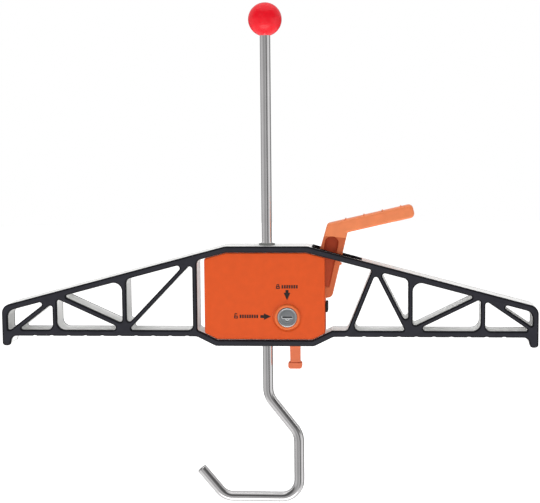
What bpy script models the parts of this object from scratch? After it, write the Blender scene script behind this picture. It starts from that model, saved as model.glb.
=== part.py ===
"""Ladder clamp for a vehicle roof bar.

A truss-shaped cross-arm lies over a ladder. A hooked steel rod runs down through a housing in the
middle of the arm and catches the roof bar. Squeezing the lever lifts the rod by a pair of drive
plates, a tilted brake plate holds it, and a button under the keel lets it go. A key lock guards
the button.

The frame: +X along the arm to the lever's side, -Y the front, +Z up. The origin is on the rod's
axis, half-way through the arm's depth, level with the undersides of the two pads.
All the sizes below are in millimetres. MM turns them into Blender's metres.
"""
import math

import bmesh
import bpy
from mathutils import Matrix, Vector

MM = 0.001
GAP = 0.35                     # running and fitting gap between neighbouring pieces

# --- cross-arm --------------------------------------------------------------------------------
ARM_HALF_LENGTH = 258.5
ARM_HALF_DEPTH = 15.0
CHEEK_THICKNESS = 2.7
CORE_HALF_DEPTH = ARM_HALF_DEPTH - CHEEK_THICKNESS - GAP
ARM_TOP = 87.2
CHORD = 6.0                    # thickness of the top and bottom chords
TOP_FLAT_HALF = 39.5           # where the level middle of the top chord turns downhill
TOP_SLOPE = math.radians(14.85)
END_POST = 5.7
KEEL_CENTRE = -1.7
KEEL_BOTTOM = -9.2
KEEL_HALF = 47.4
KEEL_RAMP = 18.5               # length of the ramp at each end of the keel
TOE_BOTTOM = -9.6
TOE_WIDTH = 7.6
TOE_ROOT = 9.8
POST_WEB = 4.4
OUTER_POST = 206.2             # distance of the upright webs from the rod
INNER_POST = 137.7
LEFT_WALL_WEB = 69.0
GROOVE_PITCH = 16.6
GROOVE_FIRST = 76.9
GROOVE_COUNT = 10
GROOVE_WIDTH = 4.6
GROOVE_DEPTH = 0.6
ARC_STEP = math.radians(28)
CORE_CUT_BOTTOM = -20.0        # the arm's cutters start below the keel and end above the top
CORE_CUT_TOP = 100.0

# Sloping webs of each side: distance of the web's foot from the rod where it meets the bottom
# chord, the slope in degrees (over 90 leans towards the rod) and the thickness.
LEFT_WEBS = {"toe": (246.2, 142.6, 4.7), "long": (131.5, 24.6, 5.0), "inner": (136.9, 133.7, 4.3),
             "last": (LEFT_WALL_WEB, 90.0, 4.4)}
RIGHT_WEBS = {"toe": (255.0, 145.6, 4.2), "long": (136.5, 26.1, 4.3), "inner": (135.0, 116.8, 4.2),
              "last": (79.8, 68.0, 4.6)}

# --- housing ----------------------------------------------------------------------------------
HOUSING_CENTRE = -1.8
HOUSING_HALF = 58.0
HOUSING_HALF_DEPTH = 13.5
HOUSING_WALL = 2.5
SCREW_PLACES = ((-51.0, 66.0), (-51.0, 12.0), (45.0, 11.5), (36.0, 70.5))
SCREW_BOSS_R = 4.0
SCREW_R = 1.6
SCREW_HEAD_R = 3.2
SCREW_TIP = -10.0              # Y of the screw's tip, of the seat under its head and of its crown
SCREW_SEAT = 11.5
SCREW_CROWN = 13.4
BOSS_END = HOUSING_HALF_DEPTH - 1.0
PIN_BOSS_R = 5.6
HOLLOW_OVERLAP = 2.0           # how far each shell's hollow cutter reaches past the joint face
LEVER_GATE = ((46.5, 32.4), (62.0, 90.0))   # (x, z) corners of the lever's way through the wall

# --- rod --------------------------------------------------------------------------------------
ROD_R = 5.0
ROD_TOP = 300.0
ROD_SIDES = 24
BALL_CENTRE = 302.5
BALL_R = 16.0
BALL_FOOT = 288.6              # flat underside of the ball
BALL_ROWS = 10
KNOB_BORE = 3.0                # how far the ball's bore goes past the rod's end
INSERT_R = 7.2
# Corners of the rod's centre line below the arm, each with its bend radius
HOOK_CORNERS = ((0.0, ROD_TOP, 0.0), (0.0, -60.2, 22.0), (29.8, -98.1, 22.0), (29.8, -161.0, 17.0),
                (-43.2, -161.0, 17.0), (-66.5, -133.1, 0.0))
BUSH_R = 6.4
BUSH_HOLE_R = ROD_R + GAP
BUSH_SEAT_R = BUSH_R + GAP
BUSH_FLANGE_R = 7.8
BUSH_FLANGE = 1.5

# --- lever ------------------------------------------------------------------------------------
LEVER_HALF_WIDTH = 9.0
PIVOT = (48.0, 42.0)
PIN_R = 2.5
PIN_HALF_LENGTH = 12.1
PIVOT_BUSH_R = 3.9
PIVOT_BUSH_HALF_LENGTH = 8.8
LEVER_EDGE = 0.9
LEVER_CORNERS = ((58.4, 108.0, 2.5), (139.4, 126.6, 4.5), (142.2, 114.4, 4.5), (77.9, 99.8, 2.0),
                 (62.9, 37.6, 5.0), (44.5, 34.4, 7.0), (37.5, 42.2, 3.0), (23.4, 42.2, 3.2),
                 (23.4, 50.2, 3.5), (41.9, 50.2, 7.0))
RIB_STATIONS = (18.0, 36.0, 54.0, 72.0)   # grip ribs, measured along the top of the grip
RIB_PROFILE = ((-0.9, 0.0), (-0.5, 0.8), (0.5, 0.8), (0.9, 0.0))
POCKET_CORNERS = ((57.4, 95.8, 5.5), (70.4, 95.8, 5.5), (65.6, 71.5, 8.0), (60.3, 47.0, 1.0),
                  (56.0, 47.0, 1.0), (52.6, 71.5, 8.0))
POCKET_DEPTH = 2.6
LEVER_SLOT = (45.5, 91.0)      # ends of the lever's slot in the top chord
LEVER_SLOT_HALF = 10.2
LEVER_SLOT_BOTTOM = 60.0       # the slot's cutter starts inside the truss, under the top chord
TRIM_HALF_WIDTH = 11.6
TRIM_THICKNESS = 1.2
TRIM_MARGIN = 2.0              # how far the frame reaches past each end of the slot
TRIM_LIP = 0.4                 # how far it covers the slot's edge
STOP_Z = (23.0, 32.6)
STOP_THICKNESS = 2.2
STOP_HALF_DEPTH = 8.0

# --- plates and springs -----------------------------------------------------------------------
PLATE = 2.5                    # thickness of the steel plates
PLATE_HALF_WIDTH = 8.0
PLATE_HOLE_R = 5.5
PLATE_CORNER = 3.0
DRIVE_BOTTOM = 50.7
DRIVE_ENDS = (-13.0, 32.0)
BRAKE_HINGE = (-20.0, 36.0)
BRAKE_ENDS = (-22.0, 33.0)
BRAKE_TILT = math.radians(6.0)
BRACKET_BACK = -33.0
BRACKET_HALF_WIDTH = 10.6
LEDGE_END = -17.0
SHELF_END = 14.0
SHELF_TOP = 50.3
SPRING_R = 7.1                 # mean radius of both coils
DRIVE_WIRE_R = 0.8
DRIVE_TURNS = 6
BRAKE_WIRE_R = 0.55
BRAKE_TURNS = 5
BRAKE_SPRING_BOTTOM = 37.7

# --- release button ---------------------------------------------------------------------------
BUTTON_CENTRE = 26.6
BUTTON_HALF = 5.1
BUTTON_HALF_DEPTH = 4.8
BUTTON_FLARE_TOP = -27.4
BUTTON_BOTTOM = -33.0
BUTTON_FLARE_HALF = 6.7
BLADE_TOP = 30.1
BLADE_FRONT = 1.2
BLADE_INSET = 0.2
FLANGE_REACH = 2.4             # the flange's overhang at the ends and at the sides, and its thickness
FLANGE_SIDE = 1.2
FLANGE_THICKNESS = 2.6
BUTTON_SLOT_TOP = 1.5          # the slot's cutter ends inside the housing, above its floor

# --- lock -------------------------------------------------------------------------------------
LOCK = (20.1, 19.0)
LOCK_FACE = -15.2              # Y of the lock's front face
LOCK_HEAD_R = 9.4
LOCK_HEAD = 2.2                # thickness of the lock's head
LOCK_BARREL_R = 8.0
LOCK_REAR = -3.4
PLUG_R = 6.2
PLUG_STUB_R = 3.0
PLUG_STUB_END = -1.2
COLLAR_R = 12.6
COLLAR_FACE = -15.6
COLLAR_ROOT = -12.0
LOCK_CUT_FRONT = -17.0
KEY_SLOT = (10.0, 1.8)
KEY_SLOT_DEPTH = 9.0
NUT_R = 11.6
NUT_THICKNESS = 2.8
CAM_REACH = 11.0
CAM_HALF_HEIGHT = 4.4
CAM_THICKNESS = 1.6
CAM_SCREW_R = 1.2
CAM_SCREW_HEAD_R = 3.6


# ================================================================================================
# Helpers
# ================================================================================================
def clear_scene():
    for old in list(bpy.data.objects):
        bpy.data.objects.remove(old, do_unlink=True)


def new_collection(name):
    made = bpy.data.collections.new(name)
    bpy.context.scene.collection.children.link(made)
    return made


def new_material(name, colour, roughness, metallic=0.0):
    made = bpy.data.materials.new(name)
    made.use_nodes = True
    shader = made.node_tree.nodes["Principled BSDF"]
    shader.inputs["Base Color"].default_value = (*colour, 1.0)
    shader.inputs["Roughness"].default_value = roughness
    shader.inputs["Metallic"].default_value = metallic
    return made


def place(name, mesh, material, collection, location=(0.0, 0.0, 0.0)):
    """Puts a mesh in the scene. Location is in millimetres."""
    made = bpy.data.objects.new(name, mesh)
    made.location = Vector(location) * MM
    made.data.materials.clear()
    if material:
        made.data.materials.append(material)
    collection.objects.link(made)
    return made


def line(foot, degrees):
    """A line through a point of the XZ plane, at an angle to +X."""
    angle = math.radians(degrees)
    return Vector(foot), Vector((math.cos(angle), math.sin(angle)))


def shifted(base, distance):
    """The same line moved sideways, to the left of its direction."""
    point, direction = base
    return point + Vector((-direction.y, direction.x)) * distance, direction


def meet(first, second):
    """Where two lines cross."""
    p, d = first
    q, e = second
    along = ((q.x - p.x) * e.y - (q.y - p.y) * e.x) / (d.x * e.y - d.y * e.x)
    return p + d * along


def rounded(corners):
    """Replaces each (x, z, radius) corner of a closed outline by an arc."""
    points = []
    count = len(corners)
    for i, (x, z, radius) in enumerate(corners):
        here = Vector((x, z))
        back = (Vector(corners[i - 1][:2]) - here).normalized()
        ahead = (Vector(corners[(i + 1) % count][:2]) - here).normalized()
        if radius == 0.0:
            points.append(here)
            continue
        points.extend(arc_at(here, back, ahead, radius))
    return points


def rectangle(start, end, half_width, radius):
    """A rounded rectangle about the first axis of its plane."""
    return rounded([(start, -half_width, radius), (end, -half_width, radius), (end, half_width, radius),
                    (start, half_width, radius)])


def arc_at(corner, back, ahead, radius):
    """The arc that rounds a corner between two unit directions."""
    half = back.angle(ahead) / 2.0
    middle = (back + ahead).normalized()
    centre = corner + middle * (radius / math.sin(half))
    start = corner + back * (radius / math.tan(half)) - centre
    turn = math.pi - 2.0 * half
    if back.x * ahead.y - back.y * ahead.x > 0.0:
        turn = -turn
    steps = max(2, round(abs(turn) / ARC_STEP))
    return [centre + Matrix.Rotation(turn * k / steps, 2) @ start for k in range(steps + 1)]


def slab_mesh(name, loops, near, far, lying=False):
    """A flat plate from closed outlines. It stands in XZ with its depth along Y, or lies in XY."""
    curve = bpy.data.curves.new(name, "CURVE")
    curve.dimensions = "2D"
    curve.fill_mode = "BOTH"
    curve.extrude = (far - near) / 2.0 * MM
    for loop in loops:
        spline = curve.splines.new("POLY")
        spline.points.add(len(loop) - 1)
        for point, (across, up) in zip(spline.points, loop):
            point.co = (across * MM, up * MM, 0.0, 1.0)
        spline.use_cyclic_u = True
    middle = (near + far) / 2.0 * MM
    if lying:
        return curve_to_mesh(curve, Matrix.Translation((0.0, 0.0, middle)))
    return curve_to_mesh(curve, Matrix.Translation((0.0, middle, 0.0)) @ Matrix.Rotation(math.pi / 2.0, 4, "X"))


def curve_to_mesh(curve, matrix=None):
    """Turns a curve into a closed mesh with welded caps and outward faces."""
    holder = bpy.data.objects.new(curve.name, curve)
    bpy.context.scene.collection.objects.link(holder)
    graph = bpy.context.evaluated_depsgraph_get()
    mesh = bpy.data.meshes.new_from_object(holder.evaluated_get(graph))
    bpy.data.objects.remove(holder, do_unlink=True)
    bpy.data.curves.remove(curve)
    if matrix:
        mesh.transform(matrix)
    tidy = bmesh.new()
    tidy.from_mesh(mesh)
    bmesh.ops.remove_doubles(tidy, verts=tidy.verts, dist=0.00001)
    bmesh.ops.recalc_face_normals(tidy, faces=tidy.faces)
    tidy.to_mesh(mesh)
    tidy.free()
    return mesh


def box_mesh(name, low, high):
    low = Vector(low)
    high = Vector(high)
    made = bmesh.new()
    bmesh.ops.create_cube(made, size=1.0)
    size = Matrix.Diagonal((*(high - low), 1.0))
    bmesh.ops.transform(made, matrix=Matrix.Translation((low + high) / 2.0) @ size, verts=made.verts)
    bmesh.ops.scale(made, vec=(MM, MM, MM), verts=made.verts)
    mesh = bpy.data.meshes.new(name)
    made.to_mesh(mesh)
    made.free()
    return mesh


def disc_mesh(name, centre, radius, start, end, sides=24, along="Y"):
    """A round bar from start to end along Y or Z. The centre gives the other two coordinates."""
    made = bmesh.new()
    bmesh.ops.create_cone(made, cap_ends=True, segments=sides, radius1=radius, radius2=radius, depth=end - start)
    middle = (start + end) / 2.0
    if along == "Y":
        turn = Matrix.Rotation(-math.pi / 2.0, 4, "X")
        shift = Matrix.Translation((centre[0], middle, centre[1]))
    else:
        turn = Matrix.Identity(4)
        shift = Matrix.Translation((centre[0], centre[1], middle))
    bmesh.ops.transform(made, matrix=shift @ turn, verts=made.verts)
    bmesh.ops.scale(made, vec=(MM, MM, MM), verts=made.verts)
    mesh = bpy.data.meshes.new(name)
    made.to_mesh(mesh)
    made.free()
    smooth(mesh)
    return mesh


def turned_object(name, profile, material, collection, steps=24):
    """A closed (radius, z) profile turned about Z with a Screw modifier."""
    mesh = bpy.data.meshes.new(name)
    points = [(radius * MM, 0.0, z * MM) for radius, z in profile]
    count = len(points)
    closed = profile[0][0] > 0.0
    edges = [(i, i + 1) for i in range(count - 1)]
    if closed:
        edges.append((count - 1, 0))
    mesh.from_pydata(points, edges, [])
    made = place(name, mesh, material, collection)
    screw = made.modifiers.new("turn", "SCREW")
    screw.steps = steps
    screw.render_steps = steps
    screw.use_merge_vertices = True
    screw.merge_threshold = 0.00001
    screw.use_smooth_shade = True
    return made


def smooth(mesh):
    mesh.shade_smooth()
    mesh.set_sharp_from_angle(angle=math.radians(35))


def add_boolean(target, tool, operation):
    """Cuts or joins with a tool object, which is kept out of the model."""
    step = target.modifiers.new(operation.lower() + "_" + tool.name, "BOOLEAN")
    step.operation = operation
    step.solver = "EXACT"
    step.object = tool


def cut(target, *tools):
    for tool in tools:
        add_boolean(target, tool, "DIFFERENCE")


def join(target, *tools):
    for tool in tools:
        add_boolean(target, tool, "UNION")


def tool_object(name, mesh, tools):
    made = place(name, mesh, None, tools)
    made.hide_render = True
    made.display_type = "WIRE"
    return made


def round_cutter(name, centre, radius, start, end, tools, sides=24, along="Y"):
    return tool_object(name, disc_mesh(name, centre, radius, start, end, sides, along), tools)


def box_cutter(name, low, high, tools):
    return tool_object(name, box_mesh(name, low, high), tools)


def coil_mesh(name, mean_radius, wire_radius, bottom, top, turns):
    """A round-wire coil about the rod, with its ends closed up."""
    curve = bpy.data.curves.new(name, "CURVE")
    curve.dimensions = "3D"
    curve.bevel_depth = wire_radius * MM
    curve.bevel_resolution = 2
    curve.use_fill_caps = True
    per_turn = 10
    count = turns * per_turn
    spline = curve.splines.new("POLY")
    spline.points.add(count)
    low = bottom + wire_radius
    high = top - wire_radius
    closed = 2.2 * wire_radius
    for i, point in enumerate(spline.points):
        turn = i / per_turn
        angle = 2.0 * math.pi * turn
        z = coil_height(turn, turns, low, high, closed)
        point.co = (mean_radius * math.cos(angle) * MM, mean_radius * math.sin(angle) * MM, z * MM, 1.0)
    mesh = curve_to_mesh(curve)
    smooth(mesh)
    return mesh


def coil_height(turn, turns, low, high, closed):
    """Height along a coil whose first and last turns lie nearly flat."""
    if turn <= 1.0:
        return low + closed * turn
    if turn >= turns - 1.0:
        return high - closed * (turns - turn)
    share = (turn - 1.0) / (turns - 2.0)
    return low + closed + (high - low - 2.0 * closed) * share


# ================================================================================================
# Cross-arm
# ================================================================================================
def top_line(side, drop=0.0):
    """The sloping top of one side of the arm, or the same line lowered by a chord's thickness."""
    slope = line((side * TOP_FLAT_HALF, ARM_TOP), -side * math.degrees(TOP_SLOPE))
    return shifted(slope, -drop)


def outer_profile():
    """The arm's outside, anticlockwise seen from the front."""
    tip_z = ARM_TOP - (ARM_HALF_LENGTH - TOP_FLAT_HALF) * math.tan(TOP_SLOPE)
    corners = []
    for side in (1, -1):
        half = [(side * ARM_HALF_LENGTH, TOE_BOTTOM, 3.0), (side * ARM_HALF_LENGTH, tip_z, 9.0),
                (side * TOP_FLAT_HALF, ARM_TOP, 14.0)]
        underside = [(side * (ARM_HALF_LENGTH - TOE_WIDTH), TOE_BOTTOM, 3.0),
                     (side * (ARM_HALF_LENGTH - TOE_ROOT), 0.0, 5.5)]
        underside += [(KEEL_CENTRE + side * (KEEL_HALF + KEEL_RAMP), 0.0, 8.0),
                      (KEEL_CENTRE + side * KEEL_HALF, KEEL_BOTTOM, 8.0)]
        whole = underside[::-1] + half
        corners += whole if side > 0 else whole[::-1]
    return rounded(corners)


def groove_comb():
    """Round bars across both pads. They cut the shallow grip grooves."""
    radius = GROOVE_WIDTH ** 2 / (8.0 * GROOVE_DEPTH) + GROOVE_DEPTH / 2.0
    comb = bmesh.new()
    for side in (-1, 1):
        for k in range(GROOVE_COUNT):
            centre = (side * (GROOVE_FIRST + GROOVE_PITCH * k), GROOVE_DEPTH - radius)
            add_turned(comb, ((radius, -20.0), (radius, 20.0)), centre, 20)
    mesh = bpy.data.meshes.new("groove_comb")
    comb.to_mesh(mesh)
    comb.free()
    return mesh


def web_edges(web):
    """The two long edges of a sloping web, in distances from the rod: nearer it, and farther."""
    foot, degrees, thickness = web
    centre = line((foot, CHORD), degrees)
    return shifted(centre, thickness / 2.0), shifted(centre, -thickness / 2.0)


def bay(side, bounds):
    """A rounded opening between lines. Each bound is a line and the radius after it."""
    corners = []
    for i, (edge, radius) in enumerate(bounds):
        point = meet(edge, bounds[(i + 1) % len(bounds)][0])
        corners.append((side * point.x, point.y, radius))
    return rounded(corners)


def side_bays(side, webs):
    """The six openings of one side of the truss."""
    top = top_line(1, CHORD)
    bottom = line((0.0, CHORD), 0.0)
    end = line((ARM_HALF_LENGTH - END_POST, 0.0), 90.0)
    outer_near, outer_far = web_edges((OUTER_POST, 90.0, POST_WEB))
    inner_near, inner_far = web_edges((INNER_POST, 90.0, POST_WEB))
    toe_near, toe_far = web_edges(webs["toe"])
    long_up, long_down = web_edges(webs["long"])
    lean_near, lean_far = web_edges(webs["inner"])
    last_far = web_edges(webs["last"])[1]
    first = [(end, 8.0), (top, 2.0), (toe_far, 1.2)]
    if meet(toe_far, end).y < CHORD:
        first = [(end, 8.0), (top, 2.0), (toe_far, 0.8), (bottom, 0.8)]
    return [bay(side, first),
            bay(side, [(toe_near, 2.2), (outer_far, 5.5), (bottom, 1.5)]),
            bay(side, [(outer_near, 2.2), (long_down, 2.5), (bottom, 8.0)]),
            bay(side, [(long_up, 1.5), (top, 8.0), (inner_far, 2.5)]),
            bay(side, [(lean_far, 2.5), (top, 5.5), (inner_near, 2.5)]),
            bay(side, [(lean_near, 2.5), (last_far, 5.0), (bottom, 1.8)])]


def housing_bay():
    """The large opening in the middle, which holds the housing."""
    top_left = meet(line((-LEFT_WALL_WEB + POST_WEB / 2.0, 0.0), 90.0), top_line(-1, CHORD))
    last = line((RIGHT_WEBS["last"][0], CHORD), RIGHT_WEBS["last"][1])
    last_inner = shifted(last, RIGHT_WEBS["last"][2] / 2.0)
    top_right = meet(last_inner, top_line(1, CHORD))
    floor = line((0.0, CHORD), 0.0)
    ramp = math.degrees(math.atan2(-KEEL_BOTTOM, KEEL_RAMP))
    right_ramp = shifted(line((KEEL_CENTRE + KEEL_HALF, KEEL_BOTTOM), ramp), CHORD)
    left_ramp = shifted(line((KEEL_CENTRE - KEEL_HALF, KEEL_BOTTOM), -ramp), CHORD)
    keel_floor = line((0.0, KEEL_BOTTOM + CHORD), 0.0)
    ceiling = line((0.0, ARM_TOP - CHORD), 0.0)
    left = -LEFT_WALL_WEB + POST_WEB / 2.0
    corners = [(*meet(line((left, 0.0), 90.0), left_ramp), 2.0), (*meet(keel_floor, left_ramp), 2.0),
               (*meet(keel_floor, right_ramp), 2.0), (*meet(floor, right_ramp), 2.0),
               (*meet(floor, last_inner), 4.0), (*top_right, 2.0),
               (*meet(ceiling, top_line(1, CHORD)), 8.0), (*meet(ceiling, top_line(-1, CHORD)), 8.0),
               (*top_left, 5.0)]
    return rounded(corners)


def arm_loops():
    return [outer_profile(), housing_bay()] + side_bays(-1, LEFT_WEBS) + side_bays(1, RIGHT_WEBS)


def build_arm(parts, tools, looks):
    loops = arm_loops()
    core = place("beam_extrusion", slab_mesh("beam_extrusion", loops, -CORE_HALF_DEPTH, CORE_HALF_DEPTH),
                 looks["aluminium"], parts)
    grooves = tool_object("groove_comb", groove_comb(), tools)
    for name, near, far in (("front_cheek", -ARM_HALF_DEPTH, -ARM_HALF_DEPTH + CHEEK_THICKNESS),
                            ("rear_cheek", ARM_HALF_DEPTH - CHEEK_THICKNESS, ARM_HALF_DEPTH)):
        cheek = place(name, slab_mesh(name, loops, near, far), looks["black"], parts)
        cut(cheek, grooves)
    rod_bore = round_cutter("rod_bore_cut", (0.0, 0.0), BUSH_SEAT_R, CORE_CUT_BOTTOM, CORE_CUT_TOP, tools,
                            along="Z")
    lever_slot = box_cutter("lever_slot_cut", (LEVER_SLOT[0], -LEVER_SLOT_HALF, LEVER_SLOT_BOTTOM),
                            (LEVER_SLOT[1], LEVER_SLOT_HALF, CORE_CUT_TOP), tools)
    half_length = BUTTON_HALF + GAP
    half_depth = BUTTON_HALF_DEPTH + GAP
    button_slot = box_cutter("button_slot_cut", (BUTTON_CENTRE - half_length, -half_depth, CORE_CUT_BOTTOM),
                             (BUTTON_CENTRE + half_length, half_depth, BUTTON_SLOT_TOP), tools)
    cut(core, grooves, rod_bore, lever_slot, button_slot)
    build_slot_trim(parts, looks)
    return rod_bore, button_slot


def build_slot_trim(parts, looks):
    """A flat frame on the sloping top chord, around the lever's slot."""
    ends = [Vector((x, ARM_TOP - (x - TOP_FLAT_HALF) * math.tan(TOP_SLOPE))) for x in LEVER_SLOT]
    length = (ends[1] - ends[0]).length
    outline = rectangle(-TRIM_MARGIN, length + TRIM_MARGIN, TRIM_HALF_WIDTH, 2.0)
    hole = rectangle(TRIM_LIP, length - TRIM_LIP, LEVER_SLOT_HALF - TRIM_LIP, 1.0)
    mesh = slab_mesh("lever_slot_trim", [outline, hole], GAP, GAP + TRIM_THICKNESS, lying=True)
    trim = place("lever_slot_trim", mesh, looks["black"], parts, (ends[0].x, 0.0, ends[0].y))
    trim.rotation_euler = (0.0, TOP_SLOPE, 0.0)


# ================================================================================================
# Housing
# ================================================================================================
def housing_outline(inset):
    """The housing's outside, or the same outline drawn in by a wall's thickness."""
    chord = CHORD + GAP + inset
    left = line((HOUSING_CENTRE - HOUSING_HALF + inset, 0.0), 90.0)
    right = line((HOUSING_CENTRE + HOUSING_HALF - inset, 0.0), 90.0)
    ceiling = line((0.0, ARM_TOP - chord), 0.0)
    floor = line((0.0, KEEL_BOTTOM + chord), 0.0)
    ramp = math.degrees(math.atan2(-KEEL_BOTTOM, KEEL_RAMP))
    right_ramp = shifted(line((KEEL_CENTRE + KEEL_HALF, KEEL_BOTTOM), ramp), chord)
    left_ramp = shifted(line((KEEL_CENTRE - KEEL_HALF, KEEL_BOTTOM), -ramp), chord)
    top_left = top_line(-1, chord)
    top_right = top_line(1, chord)
    radius = max(0.6, 2.0 - inset * 0.5)
    return rounded([(*meet(left, left_ramp), radius), (*meet(left_ramp, floor), radius),
                    (*meet(floor, right_ramp), radius), (*meet(right_ramp, right), radius),
                    (*meet(right, top_right), radius), (*meet(top_right, ceiling), 6.0),
                    (*meet(ceiling, top_left), 6.0), (*meet(top_left, left), radius)])


def build_housing(parts, tools, looks, rod_bore, button_slot):
    gate_half = LEVER_HALF_WIDTH + 0.6
    (gate_start, gate_bottom), (gate_end, gate_top) = LEVER_GATE
    lever_gate = box_cutter("lever_gate_cut", (gate_start, -gate_half, gate_bottom),
                            (gate_end, gate_half, gate_top), tools)
    pin_end = PIN_HALF_LENGTH + 0.3
    pin_seat = round_cutter("pin_seat_cut", PIVOT, PIN_R + GAP, -pin_end, pin_end, tools)
    shells = {}
    for name, facing in (("front_housing", -1), ("rear_housing", 1)):
        shells[name] = build_shell(name, facing, parts, tools, looks)
    collar = round_cutter("lock_collar", LOCK, COLLAR_R, COLLAR_FACE, COLLAR_ROOT, tools, 36)
    join(shells["front_housing"], collar)
    head_seat = round_cutter("lock_head_cut", LOCK, LOCK_HEAD_R + GAP, LOCK_CUT_FRONT,
                             LOCK_FACE + LOCK_HEAD + GAP, tools, 36)
    barrel_seat = round_cutter("lock_barrel_cut", LOCK, LOCK_BARREL_R + GAP, LOCK_CUT_FRONT, -8.0, tools, 28)
    cut(shells["front_housing"], head_seat, barrel_seat)
    for name, shell in shells.items():
        cut(shell, rod_bore, button_slot, lever_gate, pin_seat)
        for k, centre in enumerate(SCREW_PLACES):
            cut(shell, round_cutter(f"{name}_shank_{k}", centre, SCREW_R + GAP, SCREW_TIP - 0.5, 14.0, tools, 12))
            if name == "rear_housing":
                cut(shell, round_cutter(f"{name}_head_{k}", centre, SCREW_HEAD_R + GAP, SCREW_SEAT - 0.3, 14.0,
                                        tools, 16))
    build_screws(parts, looks)
    build_stop(parts, looks)


def build_shell(name, facing, parts, tools, looks):
    """One hollow half of the housing, with the bosses on its inside."""
    split = facing * GAP / 2.0
    ends = sorted((facing * HOUSING_HALF_DEPTH, split))
    shell = place(name, slab_mesh(name, [housing_outline(0.0)], *ends), looks["orange"], parts)
    hollow_name = name + "_hollow"
    inner_ends = sorted((facing * (HOUSING_HALF_DEPTH - HOUSING_WALL), -facing * HOLLOW_OVERLAP))
    hollow_mesh = slab_mesh(hollow_name, [housing_outline(HOUSING_WALL)], *inner_ends)
    cut(shell, tool_object(hollow_name, hollow_mesh, tools))
    boss_ends = sorted((split, facing * BOSS_END))
    for k, centre in enumerate(SCREW_PLACES):
        join(shell, round_cutter(f"{name}_boss_{k}", centre, SCREW_BOSS_R, *boss_ends, tools, 16))
    pin_ends = sorted((facing * (LEVER_HALF_WIDTH + GAP), facing * BOSS_END))
    join(shell, round_cutter(name + "_pin_boss", PIVOT, PIN_BOSS_R, *pin_ends, tools, 20))
    return shell


def build_stop(parts, looks):
    """The rubber pad that the lever meets at the end of its squeeze."""
    face = HOUSING_CENTRE + HOUSING_HALF + GAP
    mesh = box_mesh("lever_stop", (face, -STOP_HALF_DEPTH, STOP_Z[0]),
                    (face + STOP_THICKNESS, STOP_HALF_DEPTH, STOP_Z[1]))
    place("lever_stop", mesh, looks["rubber"], parts)


def build_screws(parts, looks):
    """The four pan-head screws that hold the shells together."""
    profile = ((SCREW_R, SCREW_TIP), (SCREW_R, SCREW_SEAT), (SCREW_HEAD_R, SCREW_SEAT),
               (SCREW_HEAD_R, SCREW_CROWN - 0.5), (SCREW_HEAD_R - 0.8, SCREW_CROWN))
    for k, (x, z) in enumerate(SCREW_PLACES):
        turned_along_y(f"housing_screw_{k + 1}", profile, (x, z), 12, looks["zinc"], parts)


def turned_along_y(name, profile, centre, sides, material, collection):
    """A solid of (radius, y) steps about a line along Y, as an object."""
    whole = bmesh.new()
    add_turned(whole, profile, centre, sides)
    mesh = bpy.data.meshes.new(name)
    whole.to_mesh(mesh)
    whole.free()
    smooth(mesh)
    return place(name, mesh, material, collection)


def add_turned(target, profile, centre, sides):
    """Adds a solid turned about a line along Y. Its ends are closed by flat discs."""
    rings = []
    for radius, y in profile:
        ring = []
        for k in range(sides):
            angle = 2.0 * math.pi * k / sides
            ring.append(target.verts.new(((centre[0] + radius * math.cos(angle)) * MM, y * MM,
                                          (centre[1] + radius * math.sin(angle)) * MM)))
        rings.append(ring)
    faces = [target.faces.new(rings[0]), target.faces.new(reversed(rings[-1]))]
    for low, high in zip(rings, rings[1:]):
        for k in range(sides):
            nxt = (k + 1) % sides
            faces.append(target.faces.new((low[nxt], low[k], high[k], high[nxt])))
    bmesh.ops.recalc_face_normals(target, faces=faces)


# ================================================================================================
# Rod, knob and guide bushes
# ================================================================================================
def hook_path():
    """The rod's centre line in the XZ plane, with its bends as arcs."""
    points = []
    last = len(HOOK_CORNERS) - 1
    for i, (x, z, radius) in enumerate(HOOK_CORNERS):
        here = Vector((x, z))
        if i in (0, last):
            points.append(here)
            continue
        back = (Vector(HOOK_CORNERS[i - 1][:2]) - here).normalized()
        ahead = (Vector(HOOK_CORNERS[i + 1][:2]) - here).normalized()
        points.extend(arc_at(here, back, ahead, radius))
    return points


def build_rod(parts, looks):
    curve = bpy.data.curves.new("hook_rod", "CURVE")
    curve.dimensions = "3D"
    curve.bevel_depth = ROD_R * MM
    curve.bevel_resolution = (ROD_SIDES - 4) // 2
    curve.use_fill_caps = True
    path = hook_path()
    spline = curve.splines.new("POLY")
    spline.points.add(len(path) - 1)
    for point, (x, z) in zip(spline.points, path):
        point.co = (x * MM, 0.0, z * MM, 1.0)
    mesh = curve_to_mesh(curve)
    smooth(mesh)
    place("hook_rod", mesh, looks["steel"], parts)


def build_knob(parts, looks):
    """The ball on the rod's top, and the threaded insert inside it."""
    bore_r = INSERT_R + GAP
    bore_top = ROD_TOP + KNOB_BORE
    start = math.asin((BALL_FOOT - BALL_CENTRE) / BALL_R)
    profile = [(0.0, BALL_CENTRE + BALL_R)]
    for k in range(1, BALL_ROWS + 1):
        angle = math.pi / 2.0 + (start - math.pi / 2.0) * k / BALL_ROWS
        profile.append((BALL_R * math.cos(angle), BALL_CENTRE + BALL_R * math.sin(angle)))
    profile += [(bore_r, BALL_FOOT), (bore_r, bore_top), (0.0, bore_top)]
    turned_object("ball_knob", profile, looks["red"], parts)
    hole_r = ROD_R + GAP
    top = bore_top - GAP
    foot = BALL_FOOT + 0.3
    turned_object("knob_insert", [(INSERT_R, top), (INSERT_R, foot), (hole_r, foot), (hole_r, top)],
                  looks["brass"], parts)


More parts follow.
